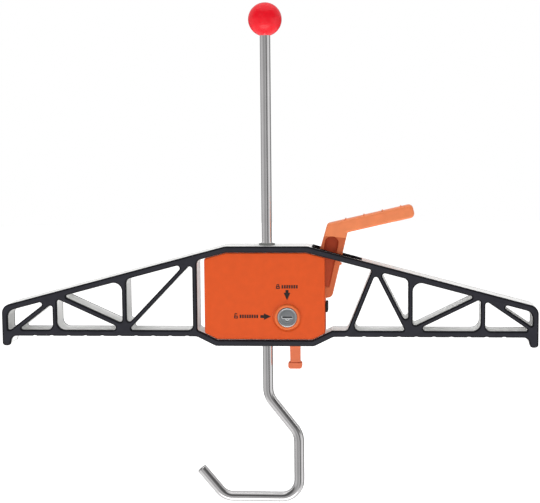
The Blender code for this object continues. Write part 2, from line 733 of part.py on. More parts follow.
def build_bushes(parts, looks):
    """The two bushes that guide the rod, in the top chord and in the keel."""
    under = ARM_TOP + GAP
    top = under + BUSH_FLANGE
    ceiling = ARM_TOP - CHORD - GAP - HOUSING_WALL
    turned_object("top_bush", [(BUSH_FLANGE_R - 0.5, top), (BUSH_FLANGE_R, top - 0.5), (BUSH_FLANGE_R, under),
                               (BUSH_R, under), (BUSH_R, ceiling), (BUSH_HOLE_R, ceiling), (BUSH_HOLE_R, top)],
                  looks["black"], parts)
    floor = KEEL_BOTTOM + CHORD + GAP + HOUSING_WALL + GAP
    turned_object("bottom_bush", [(BUSH_FLANGE_R, floor + BUSH_FLANGE), (BUSH_FLANGE_R, floor), (BUSH_R, floor),
                                  (BUSH_R, KEEL_BOTTOM), (BUSH_HOLE_R, KEEL_BOTTOM),
                                  (BUSH_HOLE_R, floor + BUSH_FLANGE)], looks["black"], parts)


# ================================================================================================
# Lever
# ================================================================================================
def lever_outline():
    """The lever's side view, with small ribs along the top of the grip."""
    start = Vector(LEVER_CORNERS[0][:2])
    along = (Vector(LEVER_CORNERS[1][:2]) - start).normalized()
    out = Vector((-along.y, along.x))
    corners = [LEVER_CORNERS[0]]
    for station in RIB_STATIONS:
        for offset, height in RIB_PROFILE:
            point = start + along * (station + offset) + out * height
            corners.append((point.x, point.y, 0.0))
    corners += LEVER_CORNERS[1:]
    return rounded(corners)


def build_lever(parts, tools, looks):
    pivot = bpy.data.objects.new("lever_axis", None)
    pivot.location = (PIVOT[0] * MM, 0.0, PIVOT[1] * MM)
    parts.objects.link(pivot)
    mesh = slab_mesh("squeeze_lever", [lever_outline()], -LEVER_HALF_WIDTH, LEVER_HALF_WIDTH)
    lever = place("squeeze_lever", mesh, looks["light_orange"], parts)
    soften = lever.modifiers.new("edges", "BEVEL")
    soften.width = LEVER_EDGE * MM
    soften.segments = 2
    soften.limit_method = "ANGLE"
    soften.angle_limit = math.radians(60)
    for name, facing in (("pocket_front_cut", -1), ("pocket_rear_cut", 1)):
        ends = sorted((facing * (LEVER_HALF_WIDTH - POCKET_DEPTH), facing * (LEVER_HALF_WIDTH + 2.0)))
        cut(lever, tool_object(name, slab_mesh(name, [rounded(POCKET_CORNERS)], *ends), tools))
    cut(lever, round_cutter("lever_eye_cut", PIVOT, PIVOT_BUSH_R + GAP, -12.0, 12.0, tools))
    bush_mesh = disc_mesh("lever_pivot_bush", PIVOT, PIVOT_BUSH_R, -PIVOT_BUSH_HALF_LENGTH, PIVOT_BUSH_HALF_LENGTH)
    bush = place("lever_pivot_bush", bush_mesh, looks["brass"], parts)
    cut(bush, round_cutter("pivot_bush_cut", PIVOT, PIN_R + GAP, -12.0, 12.0, tools))
    keep_world = Matrix.Translation(pivot.location).inverted()
    for piece in (lever, bush):
        piece.parent = pivot
        piece.matrix_parent_inverse = keep_world
    pin_mesh = disc_mesh("lever_pivot_pin", PIVOT, PIN_R, -PIN_HALF_LENGTH, PIN_HALF_LENGTH)
    place("lever_pivot_pin", pin_mesh, looks["steel"], parts)


# ================================================================================================
# Gripping plates, bracket and springs
# ================================================================================================
def build_drive_plates(parts, tools, looks):
    """The two level plates that carry the rod up when the lever's tongue lifts them."""
    hole = round_cutter("plate_hole_cut", (0.0, 0.0), PLATE_HOLE_R, 30.0, 60.0, tools, 28, "Z")
    outline = rectangle(*DRIVE_ENDS, PLATE_HALF_WIDTH, PLATE_CORNER)
    for name, bottom in (("drive_plate_lower", DRIVE_BOTTOM), ("drive_plate_upper", DRIVE_BOTTOM + PLATE + GAP)):
        mesh = slab_mesh(name, [outline], bottom, bottom + PLATE, lying=True)
        cut(place(name, mesh, looks["hard_steel"], parts), hole)


def build_brake(parts, tools, looks):
    """The brake plate, tilted about its edge on the bracket. It is made about that edge."""
    hinge_x, hinge_z = BRAKE_HINGE
    outline = rectangle(BRAKE_ENDS[0] - hinge_x, BRAKE_ENDS[1] - hinge_x, PLATE_HALF_WIDTH, PLATE_CORNER)
    mesh = slab_mesh("brake_plate", [outline], 0.0, PLATE, lying=True)
    brake = place("brake_plate", mesh, looks["hard_steel"], parts, (hinge_x, 0.0, hinge_z))
    brake.rotation_euler = (0.0, BRAKE_TILT, 0.0)
    hole = round_cutter("brake_hole_cut", (0.0, 0.0), PLATE_HOLE_R, -10.0, 10.0, tools, 28, "Z")
    hole.location = brake.location + Matrix.Rotation(BRAKE_TILT, 3, "Y") @ Vector((-hinge_x, 0.0, 0.0)) * MM
    hole.rotation_euler = brake.rotation_euler
    cut(brake, hole)


def build_bracket(parts, tools, looks):
    """The bent bracket: a shelf under the drive plates and a ledge under the brake plate's edge."""
    shelf_bottom = SHELF_TOP - PLATE
    ledge_top = BRAKE_HINGE[1] - 0.4
    ledge_bottom = ledge_top - PLATE
    outline = [(BRACKET_BACK, ledge_bottom, 2.5), (LEDGE_END, ledge_bottom, 0.0), (LEDGE_END, ledge_top, 0.0),
               (BRACKET_BACK + PLATE, ledge_top, 0.4), (BRACKET_BACK + PLATE, shelf_bottom, 0.4),
               (SHELF_END, shelf_bottom, 0.0), (SHELF_END, SHELF_TOP, 0.0), (BRACKET_BACK, SHELF_TOP, 2.5)]
    mesh = slab_mesh("mechanism_bracket", [rounded(outline)], -BRACKET_HALF_WIDTH, BRACKET_HALF_WIDTH)
    bracket = place("mechanism_bracket", mesh, looks["zinc"], parts)
    cut(bracket, round_cutter("shelf_hole_cut", (0.0, 0.0), ROD_R + 1.0, 45.0, 53.0, tools, along="Z"))


def build_springs(parts, looks):
    drive_bottom = DRIVE_BOTTOM + 2.0 * (PLATE + GAP)
    drive_top = ARM_TOP - CHORD - HOUSING_WALL - 2.0 * GAP
    place("drive_spring", coil_mesh("drive_spring", SPRING_R, DRIVE_WIRE_R, drive_bottom, drive_top, DRIVE_TURNS),
          looks["spring"], parts)
    brake_top = SHELF_TOP - PLATE - GAP
    place("brake_spring", coil_mesh("brake_spring", SPRING_R, BRAKE_WIRE_R, BRAKE_SPRING_BOTTOM, brake_top,
                                    BRAKE_TURNS), looks["spring"], parts)


# ================================================================================================
# Release button
# ================================================================================================
def build_button(parts, tools, looks):
    x = BUTTON_CENTRE
    half = BUTTON_HALF
    shoulder = KEEL_BOTTOM + CHORD + GAP + HOUSING_WALL + GAP
    outline = rounded([(x - BUTTON_FLARE_HALF, BUTTON_BOTTOM, 2.0), (x + BUTTON_FLARE_HALF, BUTTON_BOTTOM, 2.0),
                       (x + BUTTON_FLARE_HALF, BUTTON_FLARE_TOP, 1.2), (x + half, BUTTON_FLARE_TOP + 1.0, 0.8),
                       (x + half, shoulder + 1.5, 0.0), (x - half, shoulder + 1.5, 0.0),
                       (x - half, BUTTON_FLARE_TOP + 1.0, 0.8), (x - BUTTON_FLARE_HALF, BUTTON_FLARE_TOP, 1.2)])
    mesh = slab_mesh("release_button", [outline], -BUTTON_HALF_DEPTH, BUTTON_HALF_DEPTH)
    button = place("release_button", mesh, looks["light_orange"], parts)
    flange = box_cutter("button_flange", (x - half - FLANGE_REACH, -BUTTON_HALF_DEPTH - FLANGE_SIDE, shoulder),
                        (x + half + FLANGE_REACH, BUTTON_HALF_DEPTH + FLANGE_SIDE, shoulder + FLANGE_THICKNESS),
                        tools)
    blade = box_cutter("button_blade", (x - half + BLADE_INSET, BLADE_FRONT, shoulder + FLANGE_THICKNESS - 0.6),
                       (x + half - BLADE_INSET, BUTTON_HALF_DEPTH - BLADE_INSET, BLADE_TOP), tools)
    join(button, flange, blade)


# ================================================================================================
# Lock
# ================================================================================================
def build_lock(parts, tools, looks):
    head_rear = LOCK_FACE + LOCK_HEAD
    body = turned_along_y("lock_body", ((LOCK_HEAD_R - 0.8, LOCK_FACE), (LOCK_HEAD_R, LOCK_FACE + 0.8),
                                        (LOCK_HEAD_R, head_rear), (LOCK_BARREL_R, head_rear),
                                        (LOCK_BARREL_R, LOCK_REAR)), LOCK, 36, looks["chrome"], parts)
    cut(body, round_cutter("plug_cut", LOCK, PLUG_R + GAP, LOCK_CUT_FRONT, 0.0, tools, 28))

    nut_front = -HOUSING_HALF_DEPTH + HOUSING_WALL + GAP
    nut_mesh = disc_mesh("lock_nut", LOCK, NUT_R, nut_front, nut_front + NUT_THICKNESS, sides=6)
    nut = place("lock_nut", nut_mesh, looks["zinc"], parts)
    cut(nut, round_cutter("nut_cut", LOCK, LOCK_BARREL_R + GAP, LOCK_CUT_FRONT, 0.0, tools, 28))

    plug = turned_along_y("lock_plug", ((PLUG_R, LOCK_FACE + 0.2), (PLUG_R, LOCK_REAR), (PLUG_STUB_R, LOCK_REAR),
                                        (PLUG_STUB_R, PLUG_STUB_END)), LOCK, 28, looks["chrome"], parts)
    length, height = KEY_SLOT
    keyway = box_cutter("keyway_cut", (LOCK[0] - length / 2.0, LOCK_CUT_FRONT, LOCK[1] - height / 2.0),
                        (LOCK[0] + length / 2.0, LOCK_FACE + KEY_SLOT_DEPTH, LOCK[1] + height / 2.0), tools)
    screw_hole = round_cutter("cam_screw_cut", LOCK, CAM_SCREW_R + GAP, LOCK_REAR - 2.0, 0.0, tools, 12)
    cut(plug, keyway, screw_hole)

    cam_front = LOCK_REAR + GAP
    tip = LOCK[0] - CAM_REACH
    heel = LOCK[0] + CAM_HALF_HEIGHT
    low = LOCK[1] - CAM_HALF_HEIGHT
    high = LOCK[1] + CAM_HALF_HEIGHT
    outline = rounded([(tip, low, 2.0), (heel, low, 3.0), (heel, high, 3.0), (tip, high, 2.0)])
    cam = place("lock_cam", slab_mesh("lock_cam", [outline], cam_front, cam_front + CAM_THICKNESS), looks["zinc"],
                parts)
    cut(cam, round_cutter("cam_cut", LOCK, PLUG_STUB_R + GAP, -6.0, 0.0, tools, 16))
    head = PLUG_STUB_END + 0.4
    turned_along_y("cam_screw", ((CAM_SCREW_R, LOCK_REAR - 1.6), (CAM_SCREW_R, head), (CAM_SCREW_HEAD_R, head),
                                 (CAM_SCREW_HEAD_R, head + 0.9), (CAM_SCREW_HEAD_R - 0.7, head + 1.3)),
                   LOCK, 16, looks["zinc"], parts)


# ================================================================================================
def main():
    clear_scene()
    parts = new_collection("ladder_clamp")
    tools = new_collection("cutters")
    looks = {"aluminium": new_material("satin_aluminium", (0.82, 0.83, 0.84), 0.35, 1.0),
             "black": new_material("black_polymer", (0.03, 0.03, 0.045), 0.5),
             "orange": new_material("orange_polymer", (0.75, 0.11, 0.03), 0.5),
             "light_orange": new_material("light_orange_polymer", (0.82, 0.22, 0.07), 0.45),
             "rubber": new_material("black_rubber", (0.02, 0.02, 0.02), 0.8),
             "red": new_material("red_gloss", (0.80, 0.02, 0.03), 0.15),
             "steel": new_material("bright_steel", (0.70, 0.70, 0.70), 0.22, 1.0),
             "chrome": new_material("lock_chrome", (0.78, 0.78, 0.78), 0.18, 1.0),
             "hard_steel": new_material("hardened_steel", (0.32, 0.32, 0.34), 0.4, 1.0),
             "zinc": new_material("zinc_plate", (0.62, 0.63, 0.66), 0.35, 1.0),
             "spring": new_material("spring_steel", (0.45, 0.45, 0.47), 0.3, 1.0),
             "brass": new_material("brass", (0.72, 0.52, 0.22), 0.35, 1.0)}
    rod_bore, button_slot = build_arm(parts, tools, looks)
    build_housing(parts, tools, looks, rod_bore, button_slot)
    build_rod(parts, looks)
    build_knob(parts, looks)
    build_bushes(parts, looks)
    build_lever(parts, tools, looks)
    build_drive_plates(parts, tools, looks)
    build_brake(parts, tools, looks)
    build_bracket(parts, tools, looks)
    build_springs(parts, looks)
    build_button(parts, tools, looks)
    build_lock(parts, tools, looks)


main()
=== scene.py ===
"""Looks of the ladder clamp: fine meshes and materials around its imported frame.

The outlines of the arm and the housing are read from the frame, as sections across its nodes, and
rebuilt with round corners and moulded edges. Lengths are in millimetres and MM turns them into
metres. The frame: +X along the arm to the lever's side, -Y the front, +Z up.
"""

import math

import bmesh
import bpy
from mathutils import Matrix, Vector


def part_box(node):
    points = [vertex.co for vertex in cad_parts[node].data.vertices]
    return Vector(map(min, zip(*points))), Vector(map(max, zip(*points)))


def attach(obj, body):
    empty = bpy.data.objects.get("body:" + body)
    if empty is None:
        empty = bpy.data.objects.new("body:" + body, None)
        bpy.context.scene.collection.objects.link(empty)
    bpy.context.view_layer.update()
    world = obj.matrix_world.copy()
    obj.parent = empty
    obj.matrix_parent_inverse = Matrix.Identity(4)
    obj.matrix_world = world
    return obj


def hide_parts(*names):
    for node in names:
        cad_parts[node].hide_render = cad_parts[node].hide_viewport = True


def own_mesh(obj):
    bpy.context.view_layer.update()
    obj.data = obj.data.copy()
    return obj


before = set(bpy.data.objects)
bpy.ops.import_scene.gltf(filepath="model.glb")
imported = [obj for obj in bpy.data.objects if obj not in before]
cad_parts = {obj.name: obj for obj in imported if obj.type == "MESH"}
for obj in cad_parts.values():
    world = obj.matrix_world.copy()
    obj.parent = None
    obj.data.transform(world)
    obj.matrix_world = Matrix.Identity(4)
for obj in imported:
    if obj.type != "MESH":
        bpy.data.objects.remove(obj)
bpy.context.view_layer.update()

MM = 0.001
FIT = 0.06  # hairline between pieces that look closed
CAD_GAP = 0.35  # gap between neighbouring nodes of the frame
BELOW, ABOVE = -20.0, 100.0  # heights at which a cutter is clear of the arm

# Reading and rounding of outlines
WELD = 0.002
SHORTEST_EDGE = 0.001
STRAIGHT = math.radians(1.5)  # a point that turns the line less than this is dropped
LEAST_REACH = 0.4  # keeps the inset of a sharp corner from running away
FINE_STEP = math.radians(7.0)
SHARP_CORNER = math.radians(40.0)
LONG_EDGE = 1.6  # an edge this much longer than its neighbour is a straight run
SMOOTH_ANGLE = math.radians(32.0)

# Cross-arm, with the cheeks' edge as (inset, depth)
CHEEK_EDGE = ((1.35, 0.0), (0.75, 0.18), (0.25, 0.55), (0.0, 1.1))
CORE_EDGE = 0.25
CORE_SECTION = 0.5  # depth under the core's face at which its outline is read
CORE_SLOT = (1.9, 2.0, 1.4)  # from the trim's left end, right end and sides to the slot
CORE_SLOT_HEIGHTS = (60.0, 95.0)
BUSH_RIM = 1.4  # how far a bush's flange reaches beyond its sleeve
BORE_GAP = 0.3
BUTTON_WAY = (5.45, 5.15, 2.0)  # half width, half depth and top of the button's way in

# Trim of the lever's slot, each outline as (inset from the ends, inset from the sides, corner radius)
TRIM_OUTER = (0.0, 0.0, 2.0)
TRIM_HOLE = (2.2, 1.6, 1.0)
TRIM_LINER = (1.6, 1.0, 1.4)
TRIM_HEIGHT = 0.7
TRIM_EDGE = 0.25
LINER_ENDS = (-0.6, 3.2)
TRIM_SEAT = 1.3  # from the top of the node's box down to the trim's underside

# Housing
HOUSING_FACE = 13.5  # half the depth of both shells together
HOUSING_SECTION = 12.4  # depth at which a shell's outline is read
HOUSING_EDGE = 1.1
HOUSING_WALL = 2.5
HOLLOW_OVERLAP = 2.0
SHELL_JOINT = 0.1  # half the gap between the two shells
ROD_BORE_R = 6.75
LEVER_GATE = ((46.5, -9.6, 32.4), (62.0, 9.6, 90.0))
BUTTON_GATE = ((21.15, -5.15, BELOW), (32.05, 5.15, 1.5))
BOSS_R = 4.0
BOSS_SHORT = 1.0  # how far a boss stops short of the outer face
PIN_HOLE_R, PIN_HOLE_END = 2.85, 12.4
PIN_BOSS_R, PIN_BOSS_START = 5.6, 9.35

# Lever, with its corners as (x, z, radius)
LEVER_CORNERS = ((58.4, 108.0, 2.5), (139.4, 126.6, 4.5), (142.2, 114.4, 4.5), (77.9, 99.8, 2.0),
                 (62.9, 37.6, 5.0), (44.5, 34.4, 7.0), (37.5, 42.2, 3.0), (23.4, 42.2, 3.2),
                 (23.4, 50.2, 3.5), (41.9, 50.2, 7.0))
POCKET_CORNERS = ((57.4, 95.8, 5.5), (70.4, 95.8, 5.5), (65.6, 71.5, 8.0), (60.3, 47.0, 1.0),
                  (56.0, 47.0, 1.0), (52.6, 71.5, 8.0))
POCKET_DEPTHS = (1.5, 7.0)  # depth at the pocket's foot and at its head
NECK_LINE = ((40.0, 97.4), (90.0, 93.2))  # the grip's lower border; the neck below it is thinner
NECK_RECESS = 1.1
NUB = (71.2, 69.2)
NUB_CORNERS = ((-3.0, -1.2, 0.3), (0.8, -0.9, 0.6), (0.8, 0.9, 0.6), (-3.0, 1.2, 0.3))
NUB_HALF = 3.0
RIB_STATIONS = (18.0, 36.0, 54.0, 72.0)
RIB_HEIGHT = 0.8
PIVOT = (48.0, 42.0)
PIVOT_HOLE_R, PIVOT_HOLE_END = 4.2, 12.0

# Rod centre line, with its corners as (x, z, bend radius)
ROD_R = 4.97
HOOK_CORNERS = ((0.0, 300.0, 0.0), (0.0, -60.2, 22.0), (29.8, -98.1, 22.0), (29.8, -161.0, 17.0),
                (-43.2, -161.0, 17.0), (-66.5, -133.1, 0.0))

# Lock. The moat around its collar has corners as (radius, y, corner radius).
LOCK = (20.1, 19.0)
COLLAR_R = 12.6
COLLAR_CREST, COLLAR_ROOT = -15.6, -12.0
LOCK_HEAD_R = 9.4
LOCK_BORE_R, LOCK_BORE_END = 8.35, -8.0
HEAD_SEAT = -12.6
LOCK_CUT_START = -17.0  # in front of the collar
MOAT = ((14.4, -14.5, 0.0), (14.4, -13.48, 0.0), (13.3, -12.95, 0.3), (12.4, -12.95, 0.0),
        (12.4, -14.5, 0.0))
CRESCENT_R, CRESCENT_RISE = 14.4, 1.6
CRESCENT_DEPTHS = (-14.3, -11.9)
PLUG_R = 6.2
PLUG_GAP = 0.08
PLUG_TAIL_R, PLUG_TAIL_BORE_R = 3.0, 1.55
KEY_SLOT = (9.6, 1.0)  # length and height
KEY_SLOT_DEPTH = 9.0
SHUTTER_MARGINS = (0.9, 1.3)
SLOT_CORNER = 0.35
NOTCH = ((-2.6, -2.3, 0.2), (0.0, -4.9, 0.6), (2.6, -2.3, 0.2))  # (x, z, radius) about the lock

# Screws at (x, z). They and their holes are outlined as (radius, y).
SCREW_PLACES = ((-51.0, 66.0), (-51.0, 12.0), (45.0, 11.5), (36.0, 70.5))
SCREW = ((0.0, -10.0), (1.6, -10.0), (1.6, 11.5), (3.2, 11.5), (3.2, 12.5), (2.7, 13.1),
         (1.5, 13.38), (0.0, 13.4))
SCREW_HOLE_R, SCREW_HOLE_TIP, SCREW_HOLE_END = 1.9, -10.5, 2.0
SCREW_HOLE = ((0.0, SCREW_HOLE_TIP), (SCREW_HOLE_R, SCREW_HOLE_TIP), (SCREW_HOLE_R, 11.2),
              (3.6, 11.2), (3.6, 13.1), (4.1, 13.6), (4.1, 15.0), (0.0, 15.0))
CROSS_ARM = ((-2.1, 12.2, -0.42), (2.1, 15.0, 0.42))

# Printed marks
INK_PROUD, INK_DEEP = 0.05, 0.2  # how far the ink stands out of the face and reaches into it
ARROWS = (((18.5, 45.3), (18.5, 42.6), (16.7, 42.6), (19.95, 35.2), (23.2, 42.6), (21.4, 42.6),
           (21.4, 45.3)),
          ((-5.8, 20.9), (-5.8, 18.1), (-2.4, 18.1), (-2.4, 16.3), (4.2, 19.5), (-2.4, 22.7),
           (-2.4, 20.9)))
PADLOCKS = ((9.4, 46.3, 0.0), (-31.2, 17.6, 1.3))  # (x, z, how far the shackle is lifted)
PADLOCK_HEIGHT = 2.7
BAR_ROWS = ((14.8, 46.7, 7), (-25.8, 18.0, 8))  # (x, z, count)
BAR_PITCH, BAR_WIDTH, BAR_HEIGHT = 2.3, 1.6, 3.3

# Springs: how far each is pressed at the limit of its joint
SPRINGS = (("drive_spring", "drive_lift", 7.4), ("brake_spring", "brake_tilt", 3.1))

# Camera
CAMERA_AT = (112.55, -1377.63, 226.18)
CAMERA_YAW = math.radians(4.55)
CAMERA_PITCH = math.radians(6.0)
CAMERA_ROLL = math.radians(-0.52)
CAMERA_LENS, CAMERA_SENSOR = 96.0, 36.0
CAMERA_CLIP = (0.05, 50.0)

# Floor. The lamps are (name, place, target, size, watts), with their lengths in metres.
FLOOR_Z = -400.0
FLOOR_RADIUS = 6.0  # metres
FLOOR_GLOW = 0.8
LAMPS = (("key", (-0.9, -1.7, 1.2), (0.0, 0.0, 0.05), (1.4, 1.0), 7.3),
         ("fill", (1.3, -1.7, 0.6), (0.0, 0.0, 0.05), (1.0, 1.4), 2.0),
         ("overhead", (0.0, 0.3, 1.7), (0.0, 0.0, 0.0), (1.8, 1.2), 20.0),
         ("low_fill", (-0.1, -1.1, -0.24), (0.0, 0.0, 0.05), (1.2, 0.10), 1.6))

# Studio surroundings, as greys. WORLD_AROUND holds (share of a turn from behind, grey) near the
# horizon. WORLD_FRONT and WORLD_BACK hold (sine of the height, as a share from nadir to zenith, grey).
WORLD_AROUND = ((0.00, 0.20), (0.11, 0.16), (0.17, 0.42), (0.24, 0.60), (0.34, 0.58), (0.40, 0.36),
                (0.46, 0.38), (0.52, 0.58), (0.56, 0.16), (0.60, 0.14), (0.645, 0.70), (0.73, 0.92),
                (0.79, 0.55), (0.85, 0.22), (0.90, 0.16), (1.00, 0.20))
WORLD_FRONT = ((0.0, 0.85), (0.22, 0.80), (0.32, 0.40), (0.60, 0.20), (0.66, 0.10), (0.88, 0.10),
               (0.94, 0.75), (1.0, 0.80))
WORLD_BACK = ((0.0, 0.85), (0.22, 0.80), (0.32, 0.40), (0.60, 0.50), (0.80, 0.50), (0.95, 0.80),
              (1.0, 0.80))
HORIZON_BAND = ((0.24, 0.0), (0.34, 1.0), (0.52, 1.0), (0.60, 0.0))  # where WORLD_AROUND rules
FRONT_SHARE = ((0.45, 0.0), (0.60, 1.0))
# The bright sheet on the table in front: how far below the horizon, its half sizes, its strength,
# how it fades towards its edge, and how far forward it starts
SHEET_BELOW = math.radians(55.0)
SHEET_HALF = (0.46, 0.25)
SHEET_STRENGTH = 1.8
SHEET_FADE = (-0.9, 1.5)
SHEET_START = 0.1


# ---- Outlines
def node_box(node):
    """Lowest and highest corner of a frame node, in millimetres."""
    low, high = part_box(node)
    return low / MM, high / MM


def section(node, y):
    """Closed outlines of a frame node cut at depth y. The outer one comes first, anticlockwise."""
    cut = bmesh.new()
    cut.from_mesh(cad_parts[node].data)
    bmesh.ops.scale(cut, vec=(1.0 / MM,) * 3, verts=cut.verts)
    bmesh.ops.remove_doubles(cut, verts=cut.verts, dist=WELD)
    everything = cut.verts[:] + cut.edges[:] + cut.faces[:]
    bmesh.ops.bisect_plane(cut, geom=everything, plane_co=(0.0, y, 0.0), plane_no=(0.0, 1.0, 0.0),
                           clear_inner=True, clear_outer=True)
    bmesh.ops.remove_doubles(cut, verts=cut.verts, dist=WELD)
    loops = []
    waiting = set(cut.verts)
    for start in cut.verts:
        if start not in waiting:
            continue
        loop = walk(start, waiting)
        if len(loop) > 2:
            loops.append(without_straight_points(loop))
    cut.free()
    loops.sort(key=lambda loop: -abs(area(loop)))
    return [oriented(loop, i == 0) for i, loop in enumerate(loops)]


def walk(start, waiting):
    """Follows the edges of a cut from one vertex until no new vertex is left."""
    loop = []
    here = start
    while here is not None:
        waiting.discard(here)
        loop.append(Vector((here.co.x, here.co.z)))
        ahead = [edge.other_vert(here) for edge in here.link_edges]
        here = next((vert for vert in ahead if vert in waiting), None)
    return loop


def area(loop):
    return sum(a.x * b.y - a.y * b.x for a, b in zip(loop, loop[1:] + loop[:1])) / 2.0


def oriented(loop, anticlockwise):
    return loop if (area(loop) > 0.0) == anticlockwise else loop[::-1]


def without_straight_points(loop):
    kept = []
    for i, point in enumerate(loop):
        before = point - loop[i - 1]
        after = loop[(i + 1) % len(loop)] - point
        if min(before.length, after.length) > SHORTEST_EDGE and before.angle(after) > STRAIGHT:
            kept.append(point)
    return kept


def refined(loop):
    """Turns the short chords of each round corner into a smooth curve. Straight runs stay."""
    arriving, leaving = [], []
    for i, point in enumerate(loop):
        before = point - loop[i - 1]
        after = loop[(i + 1) % len(loop)] - point
        first, second = before.normalized(), after.normalized()
        middle = (first + second).normalized()
        if first.angle(second) < SHARP_CORNER:
            if before.length > LONG_EDGE * after.length:
                middle = first
            elif after.length > LONG_EDGE * before.length:
                middle = second
            first, second = middle, middle
        arriving.append(first)
        leaving.append(second)
    fine = []
    for i, start in enumerate(loop):
        following = (i + 1) % len(loop)
        fine += bend(start, loop[following], leaving[i], arriving[following])
    return fine


def bend(start, end, leaving, arriving):
    """Points of a smooth curve between two points, without its last one."""
    turn = leaving.angle(arriving)
    pieces = max(1, math.ceil(turn / FINE_STEP))
    if pieces == 1:
        return [start]
    reach = (end - start).length * 2.0 * math.tan(turn / 4.0) / (3.0 * math.sin(turn / 2.0))
    near = start + leaving * reach
    far = end - arriving * reach
    points = []
    for k in range(pieces):
        t = k / pieces
        s = 1.0 - t
        points.append(start * s ** 3 + near * (3.0 * s * s * t) + far * (3.0 * s * t * t) + end * t ** 3)
    return points


def arc_at(corner, back, ahead, radius):
    """The arc that rounds a corner between two unit directions."""
    half = back.angle(ahead) / 2.0
    middle = (back + ahead).normalized()
    centre = corner + middle * (radius / math.sin(half))
    start = corner + back * (radius / math.tan(half)) - centre
    turn = math.pi - 2.0 * half
    if back.x * ahead.y - back.y * ahead.x > 0.0:
        turn = -turn
    steps = max(2, math.ceil(abs(turn) / FINE_STEP))
    return [centre + Matrix.Rotation(turn * k / steps, 2) @ start for k in range(steps + 1)]


def rounded(corners, closed=True):
    """Replaces each (x, z, radius) corner by an arc. An open line keeps its two ends."""
    points = []
    count = len(corners)
    for i, (x, z, radius) in enumerate(corners):
        here = Vector((x, z))
        if radius == 0.0 or (not closed and i in (0, count - 1)):
            points.append(here)
            continue
        back = (Vector(corners[i - 1][:2]) - here).normalized()
        ahead = (Vector(corners[(i + 1) % count][:2]) - here).normalized()
        points += arc_at(here, back, ahead, radius)
    return points


def inset(loop, distance):
    """The outline moved to the left of its direction, which is into the material."""
    moved = []
    for i, point in enumerate(loop):
        before = (point - loop[i - 1]).normalized()
        after = (loop[(i + 1) % len(loop)] - point).normalized()
        left = Vector((-before.y, before.x)) + Vector((-after.y, after.x))
        left.normalize()
        reach = max(LEAST_REACH, left.dot(Vector((-before.y, before.x))))
        moved.append(point + left * (distance / reach))
    return moved


def shrunk(loop, distance, shortest=3.0):
    """A smaller outline with sharp corners: the loop's straight runs, moved into the material."""
    runs = []
    for start, end in zip(loop, loop[1:] + loop[:1]):
        along = end - start
        if along.length > shortest:
            along.normalize()
            runs.append((start + Vector((-along.y, along.x)) * distance, along))
    corners = []
    for (p, d), (q, e) in zip(runs, runs[1:] + runs[:1]):
        reach = ((q.x - p.x) * e.y - (q.y - p.y) * e.x) / (d.x * e.y - d.y * e.x)
        corners.append(p + d * reach)
    return corners


def edge_rings(front, rear, width, depth, steps=3):
    """Rings of (inset, y) for a plate whose two rims are rounded."""
    rim = []
    for k in range(steps + 1):
        angle = math.pi / 2.0 * k / steps
        rim.append((width * (1.0 - math.sin(angle)), depth * (1.0 - math.cos(angle))))
    return [(step, front + deep) for step, deep in rim] + [(step, rear - deep) for step, deep in rim[::-1]]


# ---- Meshes
def plate(outlines, rings, rim=0, made=None):
    """A plate standing in XZ, whose edge follows (inset, y) rings from front to rear. Its rims take
    the material number rim, and its two flat faces take number 0."""
    made = made or bmesh.new()
    fronts, rears = [], []
    for outline in outlines:
        loops = [[made.verts.new((p.x, y, p.y)) for p in inset(outline, step)] for step, y in rings]
        count = len(outline)
        for low, high in zip(loops, loops[1:]):
            for k in range(count):
                face = made.faces.new((low[k], low[(k + 1) % count], high[(k + 1) % count], high[k]))
                face.material_index = rim
        fronts += [made.edges.get((loops[0][k], loops[0][k - 1])) for k in range(count)]
        rears += [made.edges.get((loops[-1][k], loops[-1][k - 1])) for k in range(count)]
    for edges in (fronts, rears):
        bmesh.ops.triangle_fill(made, use_beauty=True, use_dissolve=False, edges=edges)
    return facing_out(made)


def facing_out(made):
    bmesh.ops.recalc_face_normals(made, faces=made.faces)
    if made.calc_volume(signed=True) < 0.0:
        bmesh.ops.reverse_faces(made, faces=made.faces)
    return made


def lathe(profile, centre, along="Z", sides=72, closed=True, numbers=None):
    """A (radius, station) profile turned about a line along Y or Z. An open profile starts and ends
    on the axis. The numbers give the material of each band."""
    made = bmesh.new()
    rings = []
    for radius, station in profile:
        ring = []
        for k in range(sides if radius > 0.0 else 1):
            a = radius * math.cos(2.0 * math.pi * k / sides)
            b = radius * math.sin(2.0 * math.pi * k / sides)
            if along == "Y":
                at = (centre[0] + a, station, centre[1] + b)
            else:
                at = (centre[0] + a, centre[1] + b, station)
            ring.append(made.verts.new(at))
        rings.append(ring)
    pairs = list(zip(rings, rings[1:]))
    if closed:
        pairs.append((rings[-1], rings[0]))
    for band, (low, high) in enumerate(pairs):
        for k in range(sides):
            corners = [low[k % len(low)], low[(k + 1) % sides % len(low)],
                       high[(k + 1) % sides % len(high)], high[k % len(high)]]
            face = made.faces.new(dict.fromkeys(corners))
            if numbers:
                face.material_index = numbers[band % len(numbers)]
    return facing_out(made)


def box(low, high):
    made = bmesh.new()
    bmesh.ops.create_cube(made, size=1.0)
    low = Vector(low)
    high = Vector(high)
    matrix = Matrix.Translation((low + high) / 2.0) @ Matrix.Diagonal((*(high - low), 1.0))
    bmesh.ops.transform(made, matrix=matrix, verts=made.verts)
    return made


def as_object(name, made, looks=()):
    """Makes an object of a bmesh in millimetres."""
    bmesh.ops.scale(made, vec=(MM,) * 3, verts=made.verts)
    mesh = bpy.data.meshes.new(name)
    made.to_mesh(mesh)
    made.free()
    for look in looks:
        mesh.materials.append(look)
    return added(name, mesh)


def added(name, data):
    """Puts a new object in the scene."""
    made = bpy.data.objects.new(name, data)
    bpy.context.scene.collection.objects.link(made)
    return made


